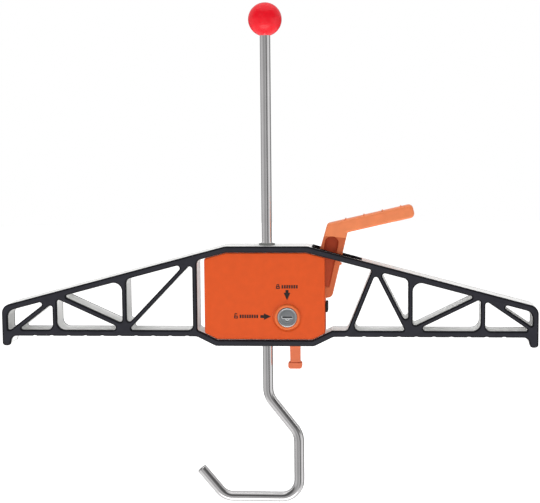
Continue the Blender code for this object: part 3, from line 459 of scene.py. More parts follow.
def carve(shown, cuts=(), joins=()):
    """Joins and cuts a piece with other solids, which are used up."""
    helpers = []
    for operation, solids in (("UNION", joins), ("DIFFERENCE", cuts)):
        for solid in solids:
            helper = as_object("helper", solid, shown.data.materials)
            helpers.append(helper)
            step = shown.modifiers.new("step", "BOOLEAN")
            step.operation = operation
            step.solver = "EXACT"
            step.object = helper
    graph = bpy.context.evaluated_depsgraph_get()
    whole = bpy.data.meshes.new_from_object(shown.evaluated_get(graph))
    shown.modifiers.clear()
    shown.data = whole
    for helper in helpers:
        bpy.data.objects.remove(helper, do_unlink=True)
    return shown


def mount(shown, body, slot, *replaced):
    """Shades a finished piece and lets it ride on its body, in place of the frame's nodes."""
    shown.data.shade_smooth()
    shown.data.set_sharp_from_angle(angle=SMOOTH_ANGLE)
    weights = shown.modifiers.new("weights", "WEIGHTED_NORMAL")
    weights.keep_sharp = True
    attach(shown, body)
    if replaced:
        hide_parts(*replaced)
    return shown


# ---- Materials
def surface(name, colour, roughness, metallic=0.0, mottle=0.08, mottle_scale=60.0, spread=0.06,
            grain_scale=900.0, grain=0.02, stretch=(1.0, 1.0, 1.0), source="Object", coat=0.0,
            specular=0.5):
    """A procedural finish: slow changes of tone and gloss, and a fine grain or drawn lines.
    Stretch multiplies the coordinates of the grain. Grain is the relief in millimetres."""
    made = bpy.data.materials.new(name)
    made.use_nodes = True
    nodes = made.node_tree.nodes
    links = made.node_tree.links
    shader = nodes["Principled BSDF"]
    fill(shader, {"Metallic": metallic, "Specular IOR Level": specular, "Coat Weight": coat,
                  "Coat Roughness": 0.06})
    if source == "Object":
        place = nodes.new("ShaderNodeTexCoord").outputs["Object"]
    else:
        straight = nodes.new("ShaderNodeAttribute")
        straight.attribute_name = source
        place = straight.outputs["Vector"]
    tone = nodes.new("ShaderNodeTexNoise")
    fill(tone, {"Scale": mottle_scale, "Detail": 4.0})
    links.new(place, tone.inputs["Vector"])
    shades = nodes.new("ShaderNodeValToRGB")
    shades.color_ramp.elements[0].position = 0.3
    shades.color_ramp.elements[1].position = 0.7
    shades.color_ramp.elements[0].color = (*(c * (1.0 - mottle) for c in colour), 1.0)
    shades.color_ramp.elements[1].color = (*(min(1.0, c * (1.0 + mottle)) for c in colour), 1.0)
    links.new(tone.outputs["Fac"], shades.inputs["Fac"])
    links.new(shades.outputs["Color"], shader.inputs["Base Color"])
    stretched = nodes.new("ShaderNodeMapping")
    fill(stretched, {"Scale": stretch})
    links.new(place, stretched.inputs["Vector"])
    fine = nodes.new("ShaderNodeTexNoise")
    fill(fine, {"Scale": grain_scale, "Detail": 3.0})
    links.new(stretched.outputs["Vector"], fine.inputs["Vector"])
    gloss = nodes.new("ShaderNodeMapRange")
    fill(gloss, {"To Min": max(0.02, roughness - spread), "To Max": roughness + spread})
    links.new(fine.outputs["Fac"], gloss.inputs["Value"])
    links.new(gloss.outputs["Result"], shader.inputs["Roughness"])
    relief = nodes.new("ShaderNodeBump")
    fill(relief, {"Strength": 0.6, "Distance": grain * MM})
    links.new(fine.outputs["Fac"], relief.inputs["Height"])
    links.new(relief.outputs["Normal"], shader.inputs["Normal"])
    return made


def fill(node, values):
    """Sets the inputs of a shader node."""
    for name, value in values.items():
        node.inputs[name].default_value = value


def make_looks():
    shell = {"mottle": 0.035, "mottle_scale": 140.0, "grain_scale": 1700.0}
    pale = {"mottle_scale": 110.0, "grain_scale": 1500.0, "grain": 0.03, "specular": 0.35}
    return {
        "core": surface("extruded aluminium", (0.95, 0.95, 0.94), 0.50, 0.12, mottle=0.03, spread=0.08,
                        grain_scale=500.0, grain=0.03, stretch=(1.0, 0.03, 1.0)),
        "black": surface("black nylon face", (0.021, 0.021, 0.030), 0.50, mottle=0.12, mottle_scale=90.0,
                         grain_scale=1500.0, grain=0.03, specular=0.4),
        # The rims' darker black is painted shade: the cheeks' bevels are darkened in colour on top of their
        # own shading.
        "black_rim_painted_shade": surface("black nylon rim painted shade", (0.006, 0.006, 0.009), 0.40, mottle=0.15, grain_scale=1200.0,
                             specular=0.25),
        "bush": surface("grey nylon", (0.20, 0.21, 0.20), 0.45, mottle=0.12, grain_scale=1200.0, grain=0.02),
        "orange": surface("orange nylon", (0.72, 0.086, 0.009), 0.48, grain=0.035, specular=0.3, **shell),
        # The collar's lighter orange is the housing's orange with a painted highlight on the raised ring.
        "collar": surface("collar nylon painted highlight", (0.80, 0.16, 0.035), 0.34, grain=0.02, specular=0.5, **shell),
        "trim": surface("matt black nylon", (0.006, 0.006, 0.008), 0.75, mottle=0.15, grain_scale=1200.0,
                        specular=0.05),
        "lever": surface("lever nylon", (0.82, 0.235, 0.090), 0.40, mottle=0.05, **pale),
        "button": surface("button nylon", (0.70, 0.165, 0.070), 0.42, mottle=0.05, **pale),
        # The neck's darker orange is the lever's orange with the painted shade of its shallow recess.
        "neck": surface("lever neck painted shade", (0.57, 0.118, 0.037), 0.42, mottle=0.06, **pale),
        # The pocket's dark orange is the lever's orange with the painted shade of the hollow.
        "pocket": surface("lever pocket painted shade", (0.42, 0.054, 0.015), 0.5, mottle=0.10, mottle_scale=120.0,
                          grain_scale=1500.0, grain=0.03, specular=0.3),
        "rubber": surface("stop rubber", (0.012, 0.012, 0.013), 0.7, mottle=0.2, grain_scale=1400.0,
                          grain=0.05),
        "red": surface("red phenolic", (0.84, 0.010, 0.022), 0.14, mottle=0.05, mottle_scale=45.0,
                       spread=0.02, grain_scale=240.0, grain=0.002, coat=0.04, specular=0.32),
        "steel": surface("drawn bright steel", (0.80, 0.785, 0.79), 0.17, 1.0, mottle=0.05, mottle_scale=35.0,
                         spread=0.07, grain_scale=1400.0, grain=0.008, stretch=(1.0, 1.0, 0.02),
                         source="straightened"),
        "chrome": surface("lock chrome", (0.76, 0.77, 0.78), 0.14, 1.0, mottle=0.03, spread=0.05,
                          grain_scale=900.0, grain=0.004),
        "chrome_face": surface("brushed lock face", (0.47, 0.49, 0.51), 0.30, 1.0, mottle=0.12, spread=0.08,
                               grain_scale=1600.0, grain=0.010, stretch=(0.08, 1.0, 1.0)),
        "ink": surface("marking ink", (0.022, 0.012, 0.010), 0.6, mottle=0.3, mottle_scale=500.0),
        "plates": surface("hardened steel", (0.30, 0.30, 0.32), 0.38, 1.0, mottle=0.12, grain_scale=700.0),
        "zinc": surface("zinc plate", (0.60, 0.61, 0.62), 0.33, 1.0, mottle=0.10, mottle_scale=160.0,
                        grain_scale=900.0),
        "spring": surface("spring steel", (0.42, 0.42, 0.44), 0.28, 1.0, mottle=0.08, grain_scale=800.0),
        "brass": surface("brass", (0.74, 0.53, 0.22), 0.32, 1.0, mottle=0.06, grain_scale=800.0),
    }


# ---- Cross-arm
def cheek_rings(low, high, facing):
    """A cheek's edge: a broad moulded bevel outside, and a square foot against the core."""
    outside = low.y if facing < 0 else high.y
    inside = high.y if facing < 0 else low.y
    rings = [(step, outside - facing * deep) for step, deep in CHEEK_EDGE]
    rings.append((0.0, inside - facing * (CAD_GAP - FIT)))
    return rings if facing < 0 else rings[::-1]


def build_arm(looks):
    for node, facing in (("front_cheek", -1), ("rear_cheek", 1)):
        low, high = node_box(node)
        outlines = [refined(loop) for loop in section(node, (low.y + high.y) / 2.0)]
        # The rim faces take the darker black, painted shade along the cheeks' bevels.
        made = plate(outlines, cheek_rings(low, high, facing), rim=1)
        cheek = as_object(node + "_moulded", made, (looks["black"], looks["black_rim_painted_shade"]))
        mount(cheek, "clamp_body", "black_polymer", node)
    low, high = node_box("beam_extrusion")
    outlines = [refined(loop) for loop in section("beam_extrusion", high.y - CORE_SECTION)]
    made = plate(outlines, edge_rings(low.y, high.y, CORE_EDGE, CORE_EDGE, 1))
    core = as_object("beam_core", made, (looks["core"],))
    low, high = node_box("lever_slot_trim")
    left, right, side = CORE_SLOT
    bottom, top = CORE_SLOT_HEIGHTS
    slot = box((low.x + left, low.y + side, bottom), (high.x - right, high.y - side, top))
    bore = capped_bore((node_box("bottom_bush")[1].x - BUSH_RIM) + BORE_GAP)
    low, high = node_box("release_button")
    middle = (low.x + high.x) / 2.0
    half, deep, top = BUTTON_WAY
    way = box((middle - half, -deep, BELOW), (middle + half, deep, top))
    mount(carve(core, [slot, bore, way]), "clamp_body", "satin_aluminium", "beam_extrusion")
    build_slot_trim(looks)


def capped_bore(radius):
    """A cutter for the rod's way through the arm."""
    return lathe([(0.0, BELOW), (radius, BELOW), (radius, ABOVE), (0.0, ABOVE)], (0.0, 0.0), closed=False)


def build_slot_trim(looks):
    """The frame around the lever's slot, with a short liner inside the slot. It is made standing,
    and then laid on the sloping top."""
    low, high = node_box("lever_slot_trim")
    slope = math.atan2(high.z - low.z, high.x - low.x)
    length = (high.x - low.x) / math.cos(slope)
    half = (high.y - low.y) / 2.0
    outer = trim_outline(length, half, *TRIM_OUTER)
    hole = oriented(trim_outline(length, half, *TRIM_HOLE), False)
    made = plate([outer, hole], edge_rings(-TRIM_HEIGHT, 0.0, TRIM_EDGE, TRIM_EDGE))
    plate([trim_outline(length, half, *TRIM_LINER), hole], [(0.0, y) for y in LINER_ENDS], made=made)
    trim = as_object("lever_slot_frame", made, (looks["trim"],))
    stand = Matrix.Rotation(-math.pi / 2.0, 4, "X")
    lean = Matrix.Rotation(slope, 4, "Y")
    rise = Matrix.Translation((low.x * MM, 0.0, (high.z - TRIM_SEAT) * MM))
    trim.data.transform(rise @ lean @ stand)
    mount(trim, "clamp_body", "black_polymer", "lever_slot_trim")


def trim_outline(length, half, end, side, radius):
    """A round-cornered rectangle, set in from the trim's ends and sides."""
    return rounded([(end, -half + side, radius), (length - end, -half + side, radius),
                    (length - end, half - side, radius), (end, half - side, radius)])


# ---- Housing
def build_housing(looks):
    for node, facing in (("front_housing", -1), ("rear_housing", 1)):
        outside = facing * HOUSING_FACE
        near = facing * SHELL_JOINT
        outline = refined(section(node, facing * HOUSING_SECTION)[0])
        whole = edge_rings(-HOUSING_FACE, HOUSING_FACE, HOUSING_EDGE, HOUSING_EDGE, 4)
        rings = [(step, y) for step, y in whole if y * facing > 0.0]
        rings = rings + [(0.0, near)] if facing < 0 else [(0.0, near)] + rings
        shell = as_object(node + "_shell", plate([outline], rings), (looks["orange"], looks["collar"]))
        ends = sorted((outside - facing * HOUSING_WALL, -facing * HOLLOW_OVERLAP))
        carve(shell, (plate([shrunk(outline, HOUSING_WALL)], [(0.0, y) for y in ends]),))
        joins, cuts = housing_details(facing, outside)
        carve(shell, cuts, joins)
        mount(shell, "clamp_body", "orange_polymer", node)
        shell.visible_diffuse = False  # keeps the shells from tinting the silver faces


def housing_details(facing, outside):
    """What stands on a shell's inside, and the holes that go through it."""
    joins = []
    cuts = [capped_bore(ROD_BORE_R), box(*LEVER_GATE), box(*BUTTON_GATE),
            rod_along_y(PIN_HOLE_R, PIVOT, -PIN_HOLE_END, PIN_HOLE_END)]
    boss_end = outside - facing * BOSS_SHORT
    for place in SCREW_PLACES:
        joins.append(rod_along_y(BOSS_R, place, *sorted((facing * SHELL_JOINT, boss_end))))
        if facing > 0:
            cuts.append(lathe(SCREW_HOLE, place, "Y", 40, closed=False))
        else:
            cuts.append(rod_along_y(SCREW_HOLE_R, place, SCREW_HOLE_TIP, SCREW_HOLE_END))
    joins.append(rod_along_y(PIN_BOSS_R, PIVOT, *sorted((facing * PIN_BOSS_START, boss_end))))
    if facing < 0:
        joins.append(lock_collar())
        cuts.append(rod_along_y(LOCK_BORE_R, LOCK, LOCK_CUT_START, LOCK_BORE_END))
        cuts.append(rod_along_y(LOCK_HEAD_R + CAD_GAP, LOCK, LOCK_CUT_START, HEAD_SEAT))
        cuts.append(lathe(rounded(MOAT), LOCK, "Y", 96))
        cuts.append(thumb_relief())
    return joins, cuts


def rod_along_y(radius, centre, start, end):
    return lathe([(0.0, start), (radius, start), (radius, end), (0.0, end)], centre, "Y", 48, closed=False)


def lock_collar():
    """The raised ring around the lock, in a lighter orange that paints its highlight."""
    corners = [(9.2, COLLAR_ROOT, 0.0), (9.2, COLLAR_CREST + 0.9, 0.0), (10.4, COLLAR_CREST, 0.9),
               (11.6, COLLAR_CREST, 0.9), (COLLAR_R, COLLAR_CREST + 1.6, 1.2), (COLLAR_R, COLLAR_ROOT, 0.0)]
    return lathe(rounded(corners), LOCK, "Y", 96, numbers=(1,))


def thumb_relief():
    """A cutter for the crescent sunk into the face above the collar."""
    outer = circle_outline((LOCK[0], LOCK[1] + CRESCENT_RISE), CRESCENT_R)
    inner = oriented(circle_outline(LOCK, COLLAR_R + 0.05), False)
    return plate([outer, inner], [(0.0, y) for y in CRESCENT_DEPTHS])


def circle_outline(centre, radius, sides=72):
    turn = 2.0 * math.pi / sides
    return [Vector((centre[0] + radius * math.cos(k * turn), centre[1] + radius * math.sin(k * turn)))
            for k in range(sides)]


def build_screws(looks):
    for k, place in enumerate(SCREW_PLACES):
        node = f"housing_screw_{k + 1}"
        screw = as_object(node + "_head", lathe(SCREW, place, "Y", 40, closed=False), (looks["zinc"],))
        arms = []
        for turn in (45.0, 135.0):
            arm = box(*CROSS_ARM)
            spin = Matrix.Translation((place[0], 0.0, place[1])) @ Matrix.Rotation(math.radians(turn), 4, "Y")
            bmesh.ops.transform(arm, matrix=spin, verts=arm.verts)
            arms.append(arm)
        mount(carve(screw, arms), "clamp_body", "zinc_plate", node)


def build_stop(looks):
    low, high = node_box("lever_stop")
    outline = rounded([(low.x, low.z, 0.3), (high.x, low.z, 0.8), (high.x, high.z, 0.8),
                       (low.x, high.z, 0.3)])
    made = plate([outline], edge_rings(low.y, high.y, 0.4, 0.6))
    stop = as_object("lever_stop_pad", made, (looks["rubber"],))
    mount(stop, "clamp_body", "black_rubber", "lever_stop")


def build_markings(looks):
    """Printed on the front: an arrow, a padlock and a row of bars for each position of the key."""
    rings = [(0.0, -HOUSING_FACE - INK_PROUD), (0.0, -HOUSING_FACE + INK_DEEP)]
    made = bmesh.new()
    for arrow in ARROWS:
        plate([oriented([Vector(p) for p in arrow], True)], rings, made=made)
    for x, z, lifted in PADLOCKS:
        add_padlock(made, x, z, lifted, rings)
    for x, z, count in BAR_ROWS:
        dash(made, x, z, count, rings)
    ink = as_object("lock_markings", made, (looks["ink"],))
    mount(ink, "clamp_body", "black_polymer")


def add_padlock(made, x, z, lifted, rings):
    """A small padlock with its shackle closed, or with the shackle's right foot lifted."""
    foot = z + PADLOCK_HEIGHT
    body = rounded([(x, z, 0.3), (x + 3.6, z, 0.3), (x + 3.6, foot, 0.3), (x, foot, 0.3)])
    window = oriented(rounded([(x + 1.0, z + 0.9, 0.1), (x + 2.6, z + 0.9, 0.1), (x + 2.6, z + 1.8, 0.1),
                               (x + 1.0, z + 1.8, 0.1)]), False)
    plate([body, window], rings, made=made)
    top = foot + 2.0 + lifted * 0.4
    shackle = rounded([(x + 0.4, foot, 0.0), (x + 0.4, top, 1.3), (x + 3.2, top, 1.3),
                       (x + 3.2, foot + lifted, 0.0), (x + 2.3, foot + lifted, 0.0),
                       (x + 2.3, top - 0.9, 0.4), (x + 1.3, top - 0.9, 0.4), (x + 1.3, foot, 0.0)])
    plate([oriented(shackle, True)], rings, made=made)


def dash(made, x, z, count, rings):
    """A row of short bars beside the padlock."""
    for k in range(count):
        left = x + BAR_PITCH * k
        right, top = left + BAR_WIDTH, z + BAR_HEIGHT
        bar = rounded([(left, z, 0.3), (right, z, 0.3), (right, top, 0.3), (left, top, 0.3)])
        plate([bar], rings, made=made)


# ---- Rod and knob
def build_rod(looks):
    """The bent rod. Its vertices also keep their places on the rod straightened, for drawn lines."""
    path = rounded(HOOK_CORNERS, closed=False)
    chamfer = 0.7
    tail = (path[-2] - path[-1]).normalized()
    stations = [(point, ROD_R) for point in path[:-1]]
    stations += [(path[-1] + tail * chamfer, ROD_R), (path[-1], ROD_R - chamfer)]
    sides = 48
    made = bmesh.new()
    straight = made.verts.layers.float_vector.new("straightened")
    rings = []
    run = 0.0
    for i, (point, radius) in enumerate(stations):
        before = (point - stations[i - 1][0]).normalized() if i else Vector((0.0, -1.0))
        after = (stations[i + 1][0] - point).normalized() if i < len(stations) - 1 else before
        along = (before + after).normalized()
        across = Vector((along.y, -along.x))
        run += (point - stations[i - 1][0]).length if i else 0.0
        ring = []
        for k in range(sides):
            angle = 2.0 * math.pi * k / sides
            out, deep = radius * math.cos(angle), radius * math.sin(angle)
            vert = made.verts.new((point.x + across.x * out, deep, point.y + across.y * out))
            vert[straight] = Vector((out, deep, run)) * MM
            ring.append(vert)
        rings.append(ring)
    for low, high in zip(rings, rings[1:]):
        for k in range(sides):
            made.faces.new((low[k], low[(k + 1) % sides], high[(k + 1) % sides], high[k]))
    made.faces.new(rings[0])
    made.faces.new(rings[-1])
    bmesh.ops.recalc_face_normals(made, faces=made.faces)
    mount(as_object("hook_rod_bar", made, (looks["steel"],)), "rod", "bright_steel", "hook_rod")


def build_knob(looks):
    """The ball, with a mouth that hugs the rod and the bore of its insert above."""
    low, high = node_box("ball_knob")
    mouth, shelf, bore, bore_top = 0.5, low.z + 2.0, 7.55, 303.0
    radius = (high.x - low.x) / 2.0
    centre = high.z - radius
    start = -math.acos((ROD_R + mouth) / radius)
    rows = 40
    profile = [(0.0, high.z)]
    for k in range(1, rows + 1):
        angle = math.pi / 2.0 + (start - math.pi / 2.0) * k / rows
        profile.append((radius * math.cos(angle), centre + radius * math.sin(angle)))
    hole = ROD_R + FIT
    foot = profile[-1][1] + 0.15
    profile += [(hole, foot), (hole, shelf), (bore, shelf), (bore, bore_top), (0.0, bore_top)]
    made = lathe(profile, (0.0, 0.0), "Z", 96, closed=False)
    ball = as_object("ball_knob_gloss", made, (looks["red"],))
    mount(ball, "rod", "red_gloss", "ball_knob")


def build_bushes(looks):
    for node in ("top_bush", "bottom_bush"):
        low, high = node_box(node)
        hole, sleeve, flange, thick, top = 5.35, 6.4, high.x, 1.5, high.z
        corners = [(hole, low.z, 0.0), (hole, top, 0.5), (flange, top, 0.6), (flange, top - thick, 0.2),
                   (sleeve, top - thick, 0.0), (sleeve, low.z, 0.3)]
        made = lathe(rounded(corners), (0.0, 0.0), "Z", 64)
        bush = as_object(node + "_turned", made, (looks["bush"],))
        mount(bush, "rod_guides", "black_polymer", node)


# ---- Lever and button
def build_lever(looks):
    low, high = node_box("squeeze_lever")
    outline = oriented(rounded(LEVER_CORNERS), True)
    rings = edge_rings(low.y, high.y, 2.3, 2.8, 6)
    lever = as_object("squeeze_lever_moulded", plate([outline], rings),
                      (looks["lever"], looks["pocket"], looks["neck"]))
    cuts = [neck_recess(facing * high.y, facing) for facing in (-1, 1)]
    cuts += [pocket_cutter(facing * high.y, facing) for facing in (-1, 1)]
    eye = rod_along_y(PIVOT_HOLE_R, PIVOT, -PIVOT_HOLE_END, PIVOT_HOLE_END)
    corners = [(NUB[0] + x, NUB[1] + z, radius) for x, z, radius in NUB_CORNERS]
    nub = plate([rounded(corners)], edge_rings(-NUB_HALF, NUB_HALF, 0.3, 0.4, 2))
    carve(lever, cuts + [eye], grip_ribs(high.y) + [nub])
    mount(lever, "lever", "light_orange_polymer", "squeeze_lever")


def neck_recess(face, facing):
    """Takes a thin layer off one side of the neck, below the grip. The faces it leaves take the neck's
    darker orange, which paints the shade of the recess."""
    (x0, z0), (x1, z1) = NECK_LINE
    left, bottom = x0 - 30.0, -10.0
    outline = [Vector(p) for p in ((left, bottom), (x1, bottom), (x1, z1), (x0, z0), (left, z0))]
    floor = face - facing * NECK_RECESS
    steps = [(-1.0, face + facing * 1.0), (-0.5, face), (0.0, floor + facing * 0.15), (0.3, floor)]
    recess = plate([oriented(outline, True)], steps if facing < 0 else steps[::-1])
    for side in recess.faces:
        side.material_index = 2
    return recess


def pocket_cutter(face, facing):
    """The hollow in one side of the neck. Its floor comes up towards the foot. Its deep faces take the
    pocket's dark orange, which is painted shade.
    """
    foot = min(z for _, z, _ in POCKET_CORNERS)
    head = max(z for _, z, _ in POCKET_CORNERS)
    flat = 3.0  # depth of the cutter's floor before it is sloped
    steps = [(-0.6, face + facing * 0.6), (-0.35, face - facing * (NECK_RECESS - 0.1)),
             (0.0, face - facing * (NECK_RECESS + 0.4)), (0.35, face - facing * 2.0),
             (0.95, face - facing * flat)]
    cutter = plate([oriented(rounded(POCKET_CORNERS), True)], steps if facing < 0 else steps[::-1], rim=1)
    for vert in cutter.verts:
        depth = (face - vert.co.y) * facing
        if depth > POCKET_DEPTHS[0]:
            share = (vert.co.z - foot) / (head - foot)
            deepest = POCKET_DEPTHS[0] + (POCKET_DEPTHS[1] - POCKET_DEPTHS[0]) * share
            vert.co.y = face - facing * (deepest - (flat - depth) * 0.6)
    for side in cutter.faces:
        depth = (face - side.calc_center_median().y) * facing
        # Deep faces take the pocket's painted shade, shallow ones the neck's painted shade.
        side.material_index = 1 if depth > NECK_RECESS + 0.2 else 2
    return cutter


def grip_ribs(half_width):
    """Small rounded ribs across the top of the grip."""
    start = Vector(LEVER_CORNERS[0][:2])
    along = (Vector(LEVER_CORNERS[1][:2]) - start).normalized()
    out = Vector((-along.y, along.x))
    sunk, wide, narrow, short = 1.0, 1.0, 0.6, 1.6
    rise = out * (sunk + RIB_HEIGHT)
    rings = edge_rings(-half_width + short, half_width - short, 0.3, 0.5, 2)
    ribs = []
    for station in RIB_STATIONS:
        foot = start + along * station - out * sunk
        corners = [foot - along * wide, foot + along * wide, foot + along * narrow + rise,
                   foot - along * narrow + rise]
        radii = (0.0, 0.0, 0.4, 0.4)
        outline = rounded([(p.x, p.y, r) for p, r in zip(corners, radii)])
        ribs.append(plate([oriented(outline, True)], rings))
    return ribs


def build_button(looks):
    """The push tab: a neck, a flared foot with a crease above it, a flange and an inner blade."""
    low, high = node_box("release_button")
    middle = (low.x + high.x) / 2.0
    half, flare, depth, crease = 5.1, 6.7, 4.8, 1.2
    neck_end, flare_top, outside = -26.2, -27.2, 9.0
    outline = rounded([(middle - flare, low.z, 2.4), (middle + flare, low.z, 2.4),
                       (middle + flare, flare_top, 1.2), (middle + half, neck_end, 0.5),
                       (middle + half, 1.5, 0.0), (middle - half, 1.5, 0.0),
                       (middle - half + 0.5, neck_end, 0.5), (middle - flare, flare_top, 1.2)])
    button = as_object("release_button_moulded", plate([outline], edge_rings(-depth, depth, 0.9, 0.9, 4)),
                       (looks["button"],))
    flange = box((low.x, low.y, 0.0), (high.x, high.y, 2.6))
    blade = box((middle - half + 0.2, 1.2, 2.0), (middle + half - 0.2, depth - 0.2, high.z))
    creases = [box((low.x, -outside, flare_top), (high.x, -depth + crease, neck_end)),
               box((low.x, depth - crease, flare_top), (high.x, outside, neck_end))]
    carve(button, creases, (flange, blade))
    mount(button, "release", "light_orange_polymer", "release_button")


# ---- Lock
def build_lock(looks):
    """The barrel with its bright rim, and the plug with a shutter, a keyway and a notch."""
    low, high = node_box("lock_body")
    face = low.y
    hole = PLUG_R + PLUG_GAP
    profile = [(hole, face + 0.75), (7.9, face + 0.75), (8.15, face + 0.6), (8.35, face + 0.15),
               (8.55, face), (LOCK_HEAD_R - 0.35, face), (LOCK_HEAD_R - 0.1, face + 0.12),
               (LOCK_HEAD_R, face + 0.4), (LOCK_HEAD_R, face + 2.2), (8.0, face + 2.2), (8.0, high.y),
               (hole, high.y)]
    body = as_object("lock_body_turned", lathe(profile, LOCK, "Y", 96, numbers=(1,) + (0,) * 11),
                     (looks["chrome"], looks["chrome_face"]))
    mount(body, "clamp_body", "lock_chrome", "lock_body")

    low, high = node_box("lock_plug")
    face = low.y
    rear = high.y - 2.2
    profile = [(0.0, face + 0.5), (PLUG_R - 0.2, face + 0.5), (PLUG_R, face + 0.7), (PLUG_R, rear),
               (PLUG_TAIL_R, rear), (PLUG_TAIL_R, high.y), (0.0, high.y)]
    plug = as_object("lock_plug_turned", lathe(profile, LOCK, "Y", 72, closed=False),
                     (looks["chrome_face"], looks["chrome"]))
    shutter = slot_outline(KEY_SLOT[0] + SHUTTER_MARGINS[0], KEY_SLOT[1] + SHUTTER_MARGINS[1])
    recess = plate([shutter], [(-0.5, face), (-0.35, face + 0.45), (0.25, face + 0.95)], rim=1)
    keyway = plate([slot_outline(*KEY_SLOT)],
                   [(-0.3, face + 0.3), (0.0, face + 1.3), (0.0, face + KEY_SLOT_DEPTH)])
    corners = [(LOCK[0] + x, LOCK[1] + z, radius) for x, z, radius in NOTCH]
    notch = plate([oriented(rounded(corners), True)],
                  [(-0.4, face), (-0.1, face + 0.5), (0.7, face + 1.1)], rim=1)
    for side in notch.faces:
        side.material_index = 1
    tail = rod_along_y(PLUG_TAIL_BORE_R, LOCK, rear - 2.0, 0.0)
    mount(carve(plug, (recess, keyway, notch, tail)), "lock_core", "lock_chrome", "lock_plug")


def slot_outline(length, height):
    """A rounded rectangle about the lock's centre."""
    half, tall = length / 2.0, height / 2.0
    return rounded([(LOCK[0] + x, LOCK[1] + z, SLOT_CORNER)
                    for x, z in ((-half, -tall), (half, -tall), (half, tall), (-half, tall))])


# ---- Inner pieces that keep the frame's shape
def dress_inner_nodes(looks):
    finishes = {"brass": ("knob_insert", "lever_pivot_bush"), "steel": ("lever_pivot_pin",),
                "plates": ("drive_plate_lower", "drive_plate_upper", "brake_plate"),
                "zinc": ("mechanism_bracket", "lock_nut", "lock_cam", "cam_screw")}
    for finish, dressed in finishes.items():
        for node in dressed:
            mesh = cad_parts[node].data
            mesh.materials.clear()
            mesh.materials.append(looks[finish])


def build_springs(looks):
    """The two springs: copies of the frame's coils in spring steel, carried by the clamp body."""
    for node, joint, travel in SPRINGS:
        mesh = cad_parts[node].data.copy()
        mesh.materials.clear()
        mesh.materials.append(looks["spring"])
        coil = added(node + "_coil", mesh)
        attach(coil, "clamp_body")
        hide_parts(node)
        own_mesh(coil)


# ---- Stage
def build_camera():
    data = bpy.data.cameras.new("camera")
    data.lens = CAMERA_LENS
    data.sensor_width = CAMERA_SENSOR
    data.clip_start, data.clip_end = CAMERA_CLIP
    camera = added("camera", data)
    back = Vector((math.sin(CAMERA_YAW) * math.cos(CAMERA_PITCH),
                   -math.cos(CAMERA_YAW) * math.cos(CAMERA_PITCH), math.sin(CAMERA_PITCH)))
    right = (-back).cross(Vector((0.0, 0.0, 1.0))).normalized()
    up = right.cross(-back)
    turned_right = right * math.cos(CAMERA_ROLL) + up * math.sin(CAMERA_ROLL)
    turned_up = up * math.cos(CAMERA_ROLL) - right * math.sin(CAMERA_ROLL)
    turn = Matrix((turned_right, turned_up, back)).transposed()
    camera.matrix_world = Matrix.Translation(Vector(CAMERA_AT) * MM) @ turn.to_4x4()
    bpy.context.scene.camera = camera


def add_light(name, at, towards, size, power):
    """A soft lamp that neither the picture nor a reflection shows."""
    data = bpy.data.lights.new(name, "AREA")
    data.shape = "RECTANGLE"
    data.size, data.size_y = size
    data.energy = power
    light = added(name, data)
    light.location = at
    light.rotation_euler = (Vector(towards) - Vector(at)).to_track_quat("-Z", "Y").to_euler()
    light.visible_camera = False
    light.visible_glossy = False


def build_stage():
    scene = bpy.context.scene
    scene.view_settings.view_transform = "Standard"
    build_world(scene)
    build_floor()
    for lamp in LAMPS:
        add_light(*lamp)


def build_world(scene):
    """Grey surroundings for light and reflections, and plain white where the camera sees them."""
    world = bpy.data.worlds.new("studio")
    scene.world = world
    world.use_nodes = True
    nodes = world.node_tree.nodes
    links = world.node_tree.links
    links.new(world_tones(nodes, links), nodes["Background"].inputs["Color"])
    white = nodes.new("ShaderNodeBackground")
    fill(white, {"Color": (1.0, 1.0, 1.0, 1.0)})
    rays = nodes.new("ShaderNodeLightPath")
    choice = nodes.new("ShaderNodeMixShader")
    links.new(rays.outputs["Is Camera Ray"], choice.inputs["Fac"])
    links.new(nodes["Background"].outputs["Background"], choice.inputs[1])
    links.new(white.outputs["Background"], choice.inputs[2])
    links.new(choice.outputs["Shader"], nodes["World Output"].inputs["Surface"])


def build_floor():
    made = bmesh.new()
    bmesh.ops.create_circle(made, cap_ends=True, segments=96, radius=FLOOR_RADIUS)
    mesh = bpy.data.meshes.new("floor")
    made.to_mesh(mesh)
    made.free()
    floor = added("floor", mesh)
    floor.location = (0.0, 0.0, FLOOR_Z * MM)
    floor.visible_glossy = False
    pale = surface("pale floor", (0.86, 0.86, 0.86), 0.7, mottle=0.01, mottle_scale=3.0, grain_scale=200.0)
    shader = pale.node_tree.nodes["Principled BSDF"]
    fill(shader, {"Emission Color": (1.0, 1.0, 1.0, 1.0), "Emission Strength": FLOOR_GLOW})
    mesh.materials.append(pale)


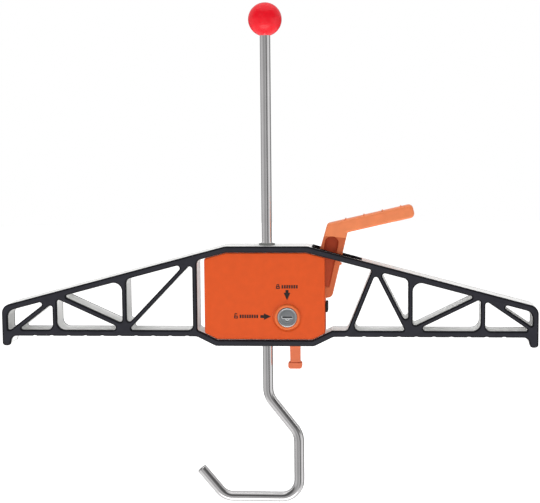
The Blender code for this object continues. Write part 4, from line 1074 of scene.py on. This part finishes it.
def world_tones(nodes, links):
    """A studio with a pale table, dark cards in front and behind, and a light ceiling."""
    def linked(node, *sources):
        for socket, source in zip(node.inputs, sources):
            links.new(source, socket)
        return node

    def maths(operation, *values):
        node = nodes.new("ShaderNodeMath")
        node.operation = operation
        for socket, value in zip(node.inputs, values):
            if isinstance(value, float):
                socket.default_value = value
            else:
                links.new(value, socket)
        return node.outputs["Value"]

    def mixed(share, first, second):
        node = nodes.new("ShaderNodeMix")
        node.data_type = "RGBA"
        links.new(share, node.inputs["Factor"])
        links.new(first, node.inputs["A"])
        links.new(second, node.inputs["B"])
        return node.outputs["Result"]

    def grey(stops, value):
        return linked(grey_ramp(nodes, stops), value).outputs["Color"]

    place = nodes.new("ShaderNodeTexCoord")
    split = linked(nodes.new("ShaderNodeSeparateXYZ"), place.outputs["Generated"])
    x, y, z = split.outputs["X"], split.outputs["Y"], split.outputs["Z"]
    front = maths("MULTIPLY", y, -1.0)
    turn = maths("MULTIPLY_ADD", maths("ARCTAN2", x, front), 0.5 / math.pi, 0.5)
    height = maths("MULTIPLY_ADD", z, 0.5, 0.5)
    facing = maths("MULTIPLY_ADD", front, 0.5, 0.5)
    around = grey(WORLD_AROUND, turn)
    ahead = grey(WORLD_FRONT, height)
    behind = grey(WORLD_BACK, height)
    share = grey(FRONT_SHARE, facing)
    band = grey(HORIZON_BAND, height)
    room = mixed(band, mixed(share, behind, ahead), around)
    along = maths("DIVIDE", x, SHEET_HALF[0])
    lean = maths("ADD", maths("MULTIPLY", y, math.sin(SHEET_BELOW)),
                 maths("MULTIPLY", z, -math.cos(SHEET_BELOW)))
    across = maths("DIVIDE", lean, SHEET_HALF[1])
    spread = maths("ADD", maths("MULTIPLY", along, along), maths("MULTIPLY", across, across))
    inside = maths("MINIMUM", maths("MAXIMUM", maths("MULTIPLY_ADD", spread, *SHEET_FADE), 0.0), 1.0)
    lit = maths("MULTIPLY", inside, maths("GREATER_THAN", front, SHEET_START))
    glow = maths("MULTIPLY", lit, SHEET_STRENGTH)
    total = nodes.new("ShaderNodeMix")
    total.data_type = "RGBA"
    total.blend_type = "ADD"
    total.inputs["Factor"].default_value = 1.0
    links.new(room, total.inputs["A"])
    links.new(glow, total.inputs["B"])
    return total.outputs["Result"]


def grey_ramp(nodes, stops):
    made = nodes.new("ShaderNodeValToRGB")
    ramp = made.color_ramp
    ramp.elements.remove(ramp.elements[1])
    ramp.elements[0].position = stops[0][0]
    ramp.elements[0].color = (*(stops[0][1],) * 3, 1.0)
    for position, grey in stops[1:]:
        stop = ramp.elements.new(position)
        stop.color = (grey, grey, grey, 1.0)
    return made


def main():
    looks = make_looks()
    build_arm(looks)
    build_housing(looks)
    build_screws(looks)
    build_stop(looks)
    build_markings(looks)
    build_rod(looks)
    build_knob(looks)
    build_bushes(looks)
    build_lever(looks)
    build_button(looks)
    build_lock(looks)
    dress_inner_nodes(looks)
    build_springs(looks)
    build_camera()
    build_stage()


main()
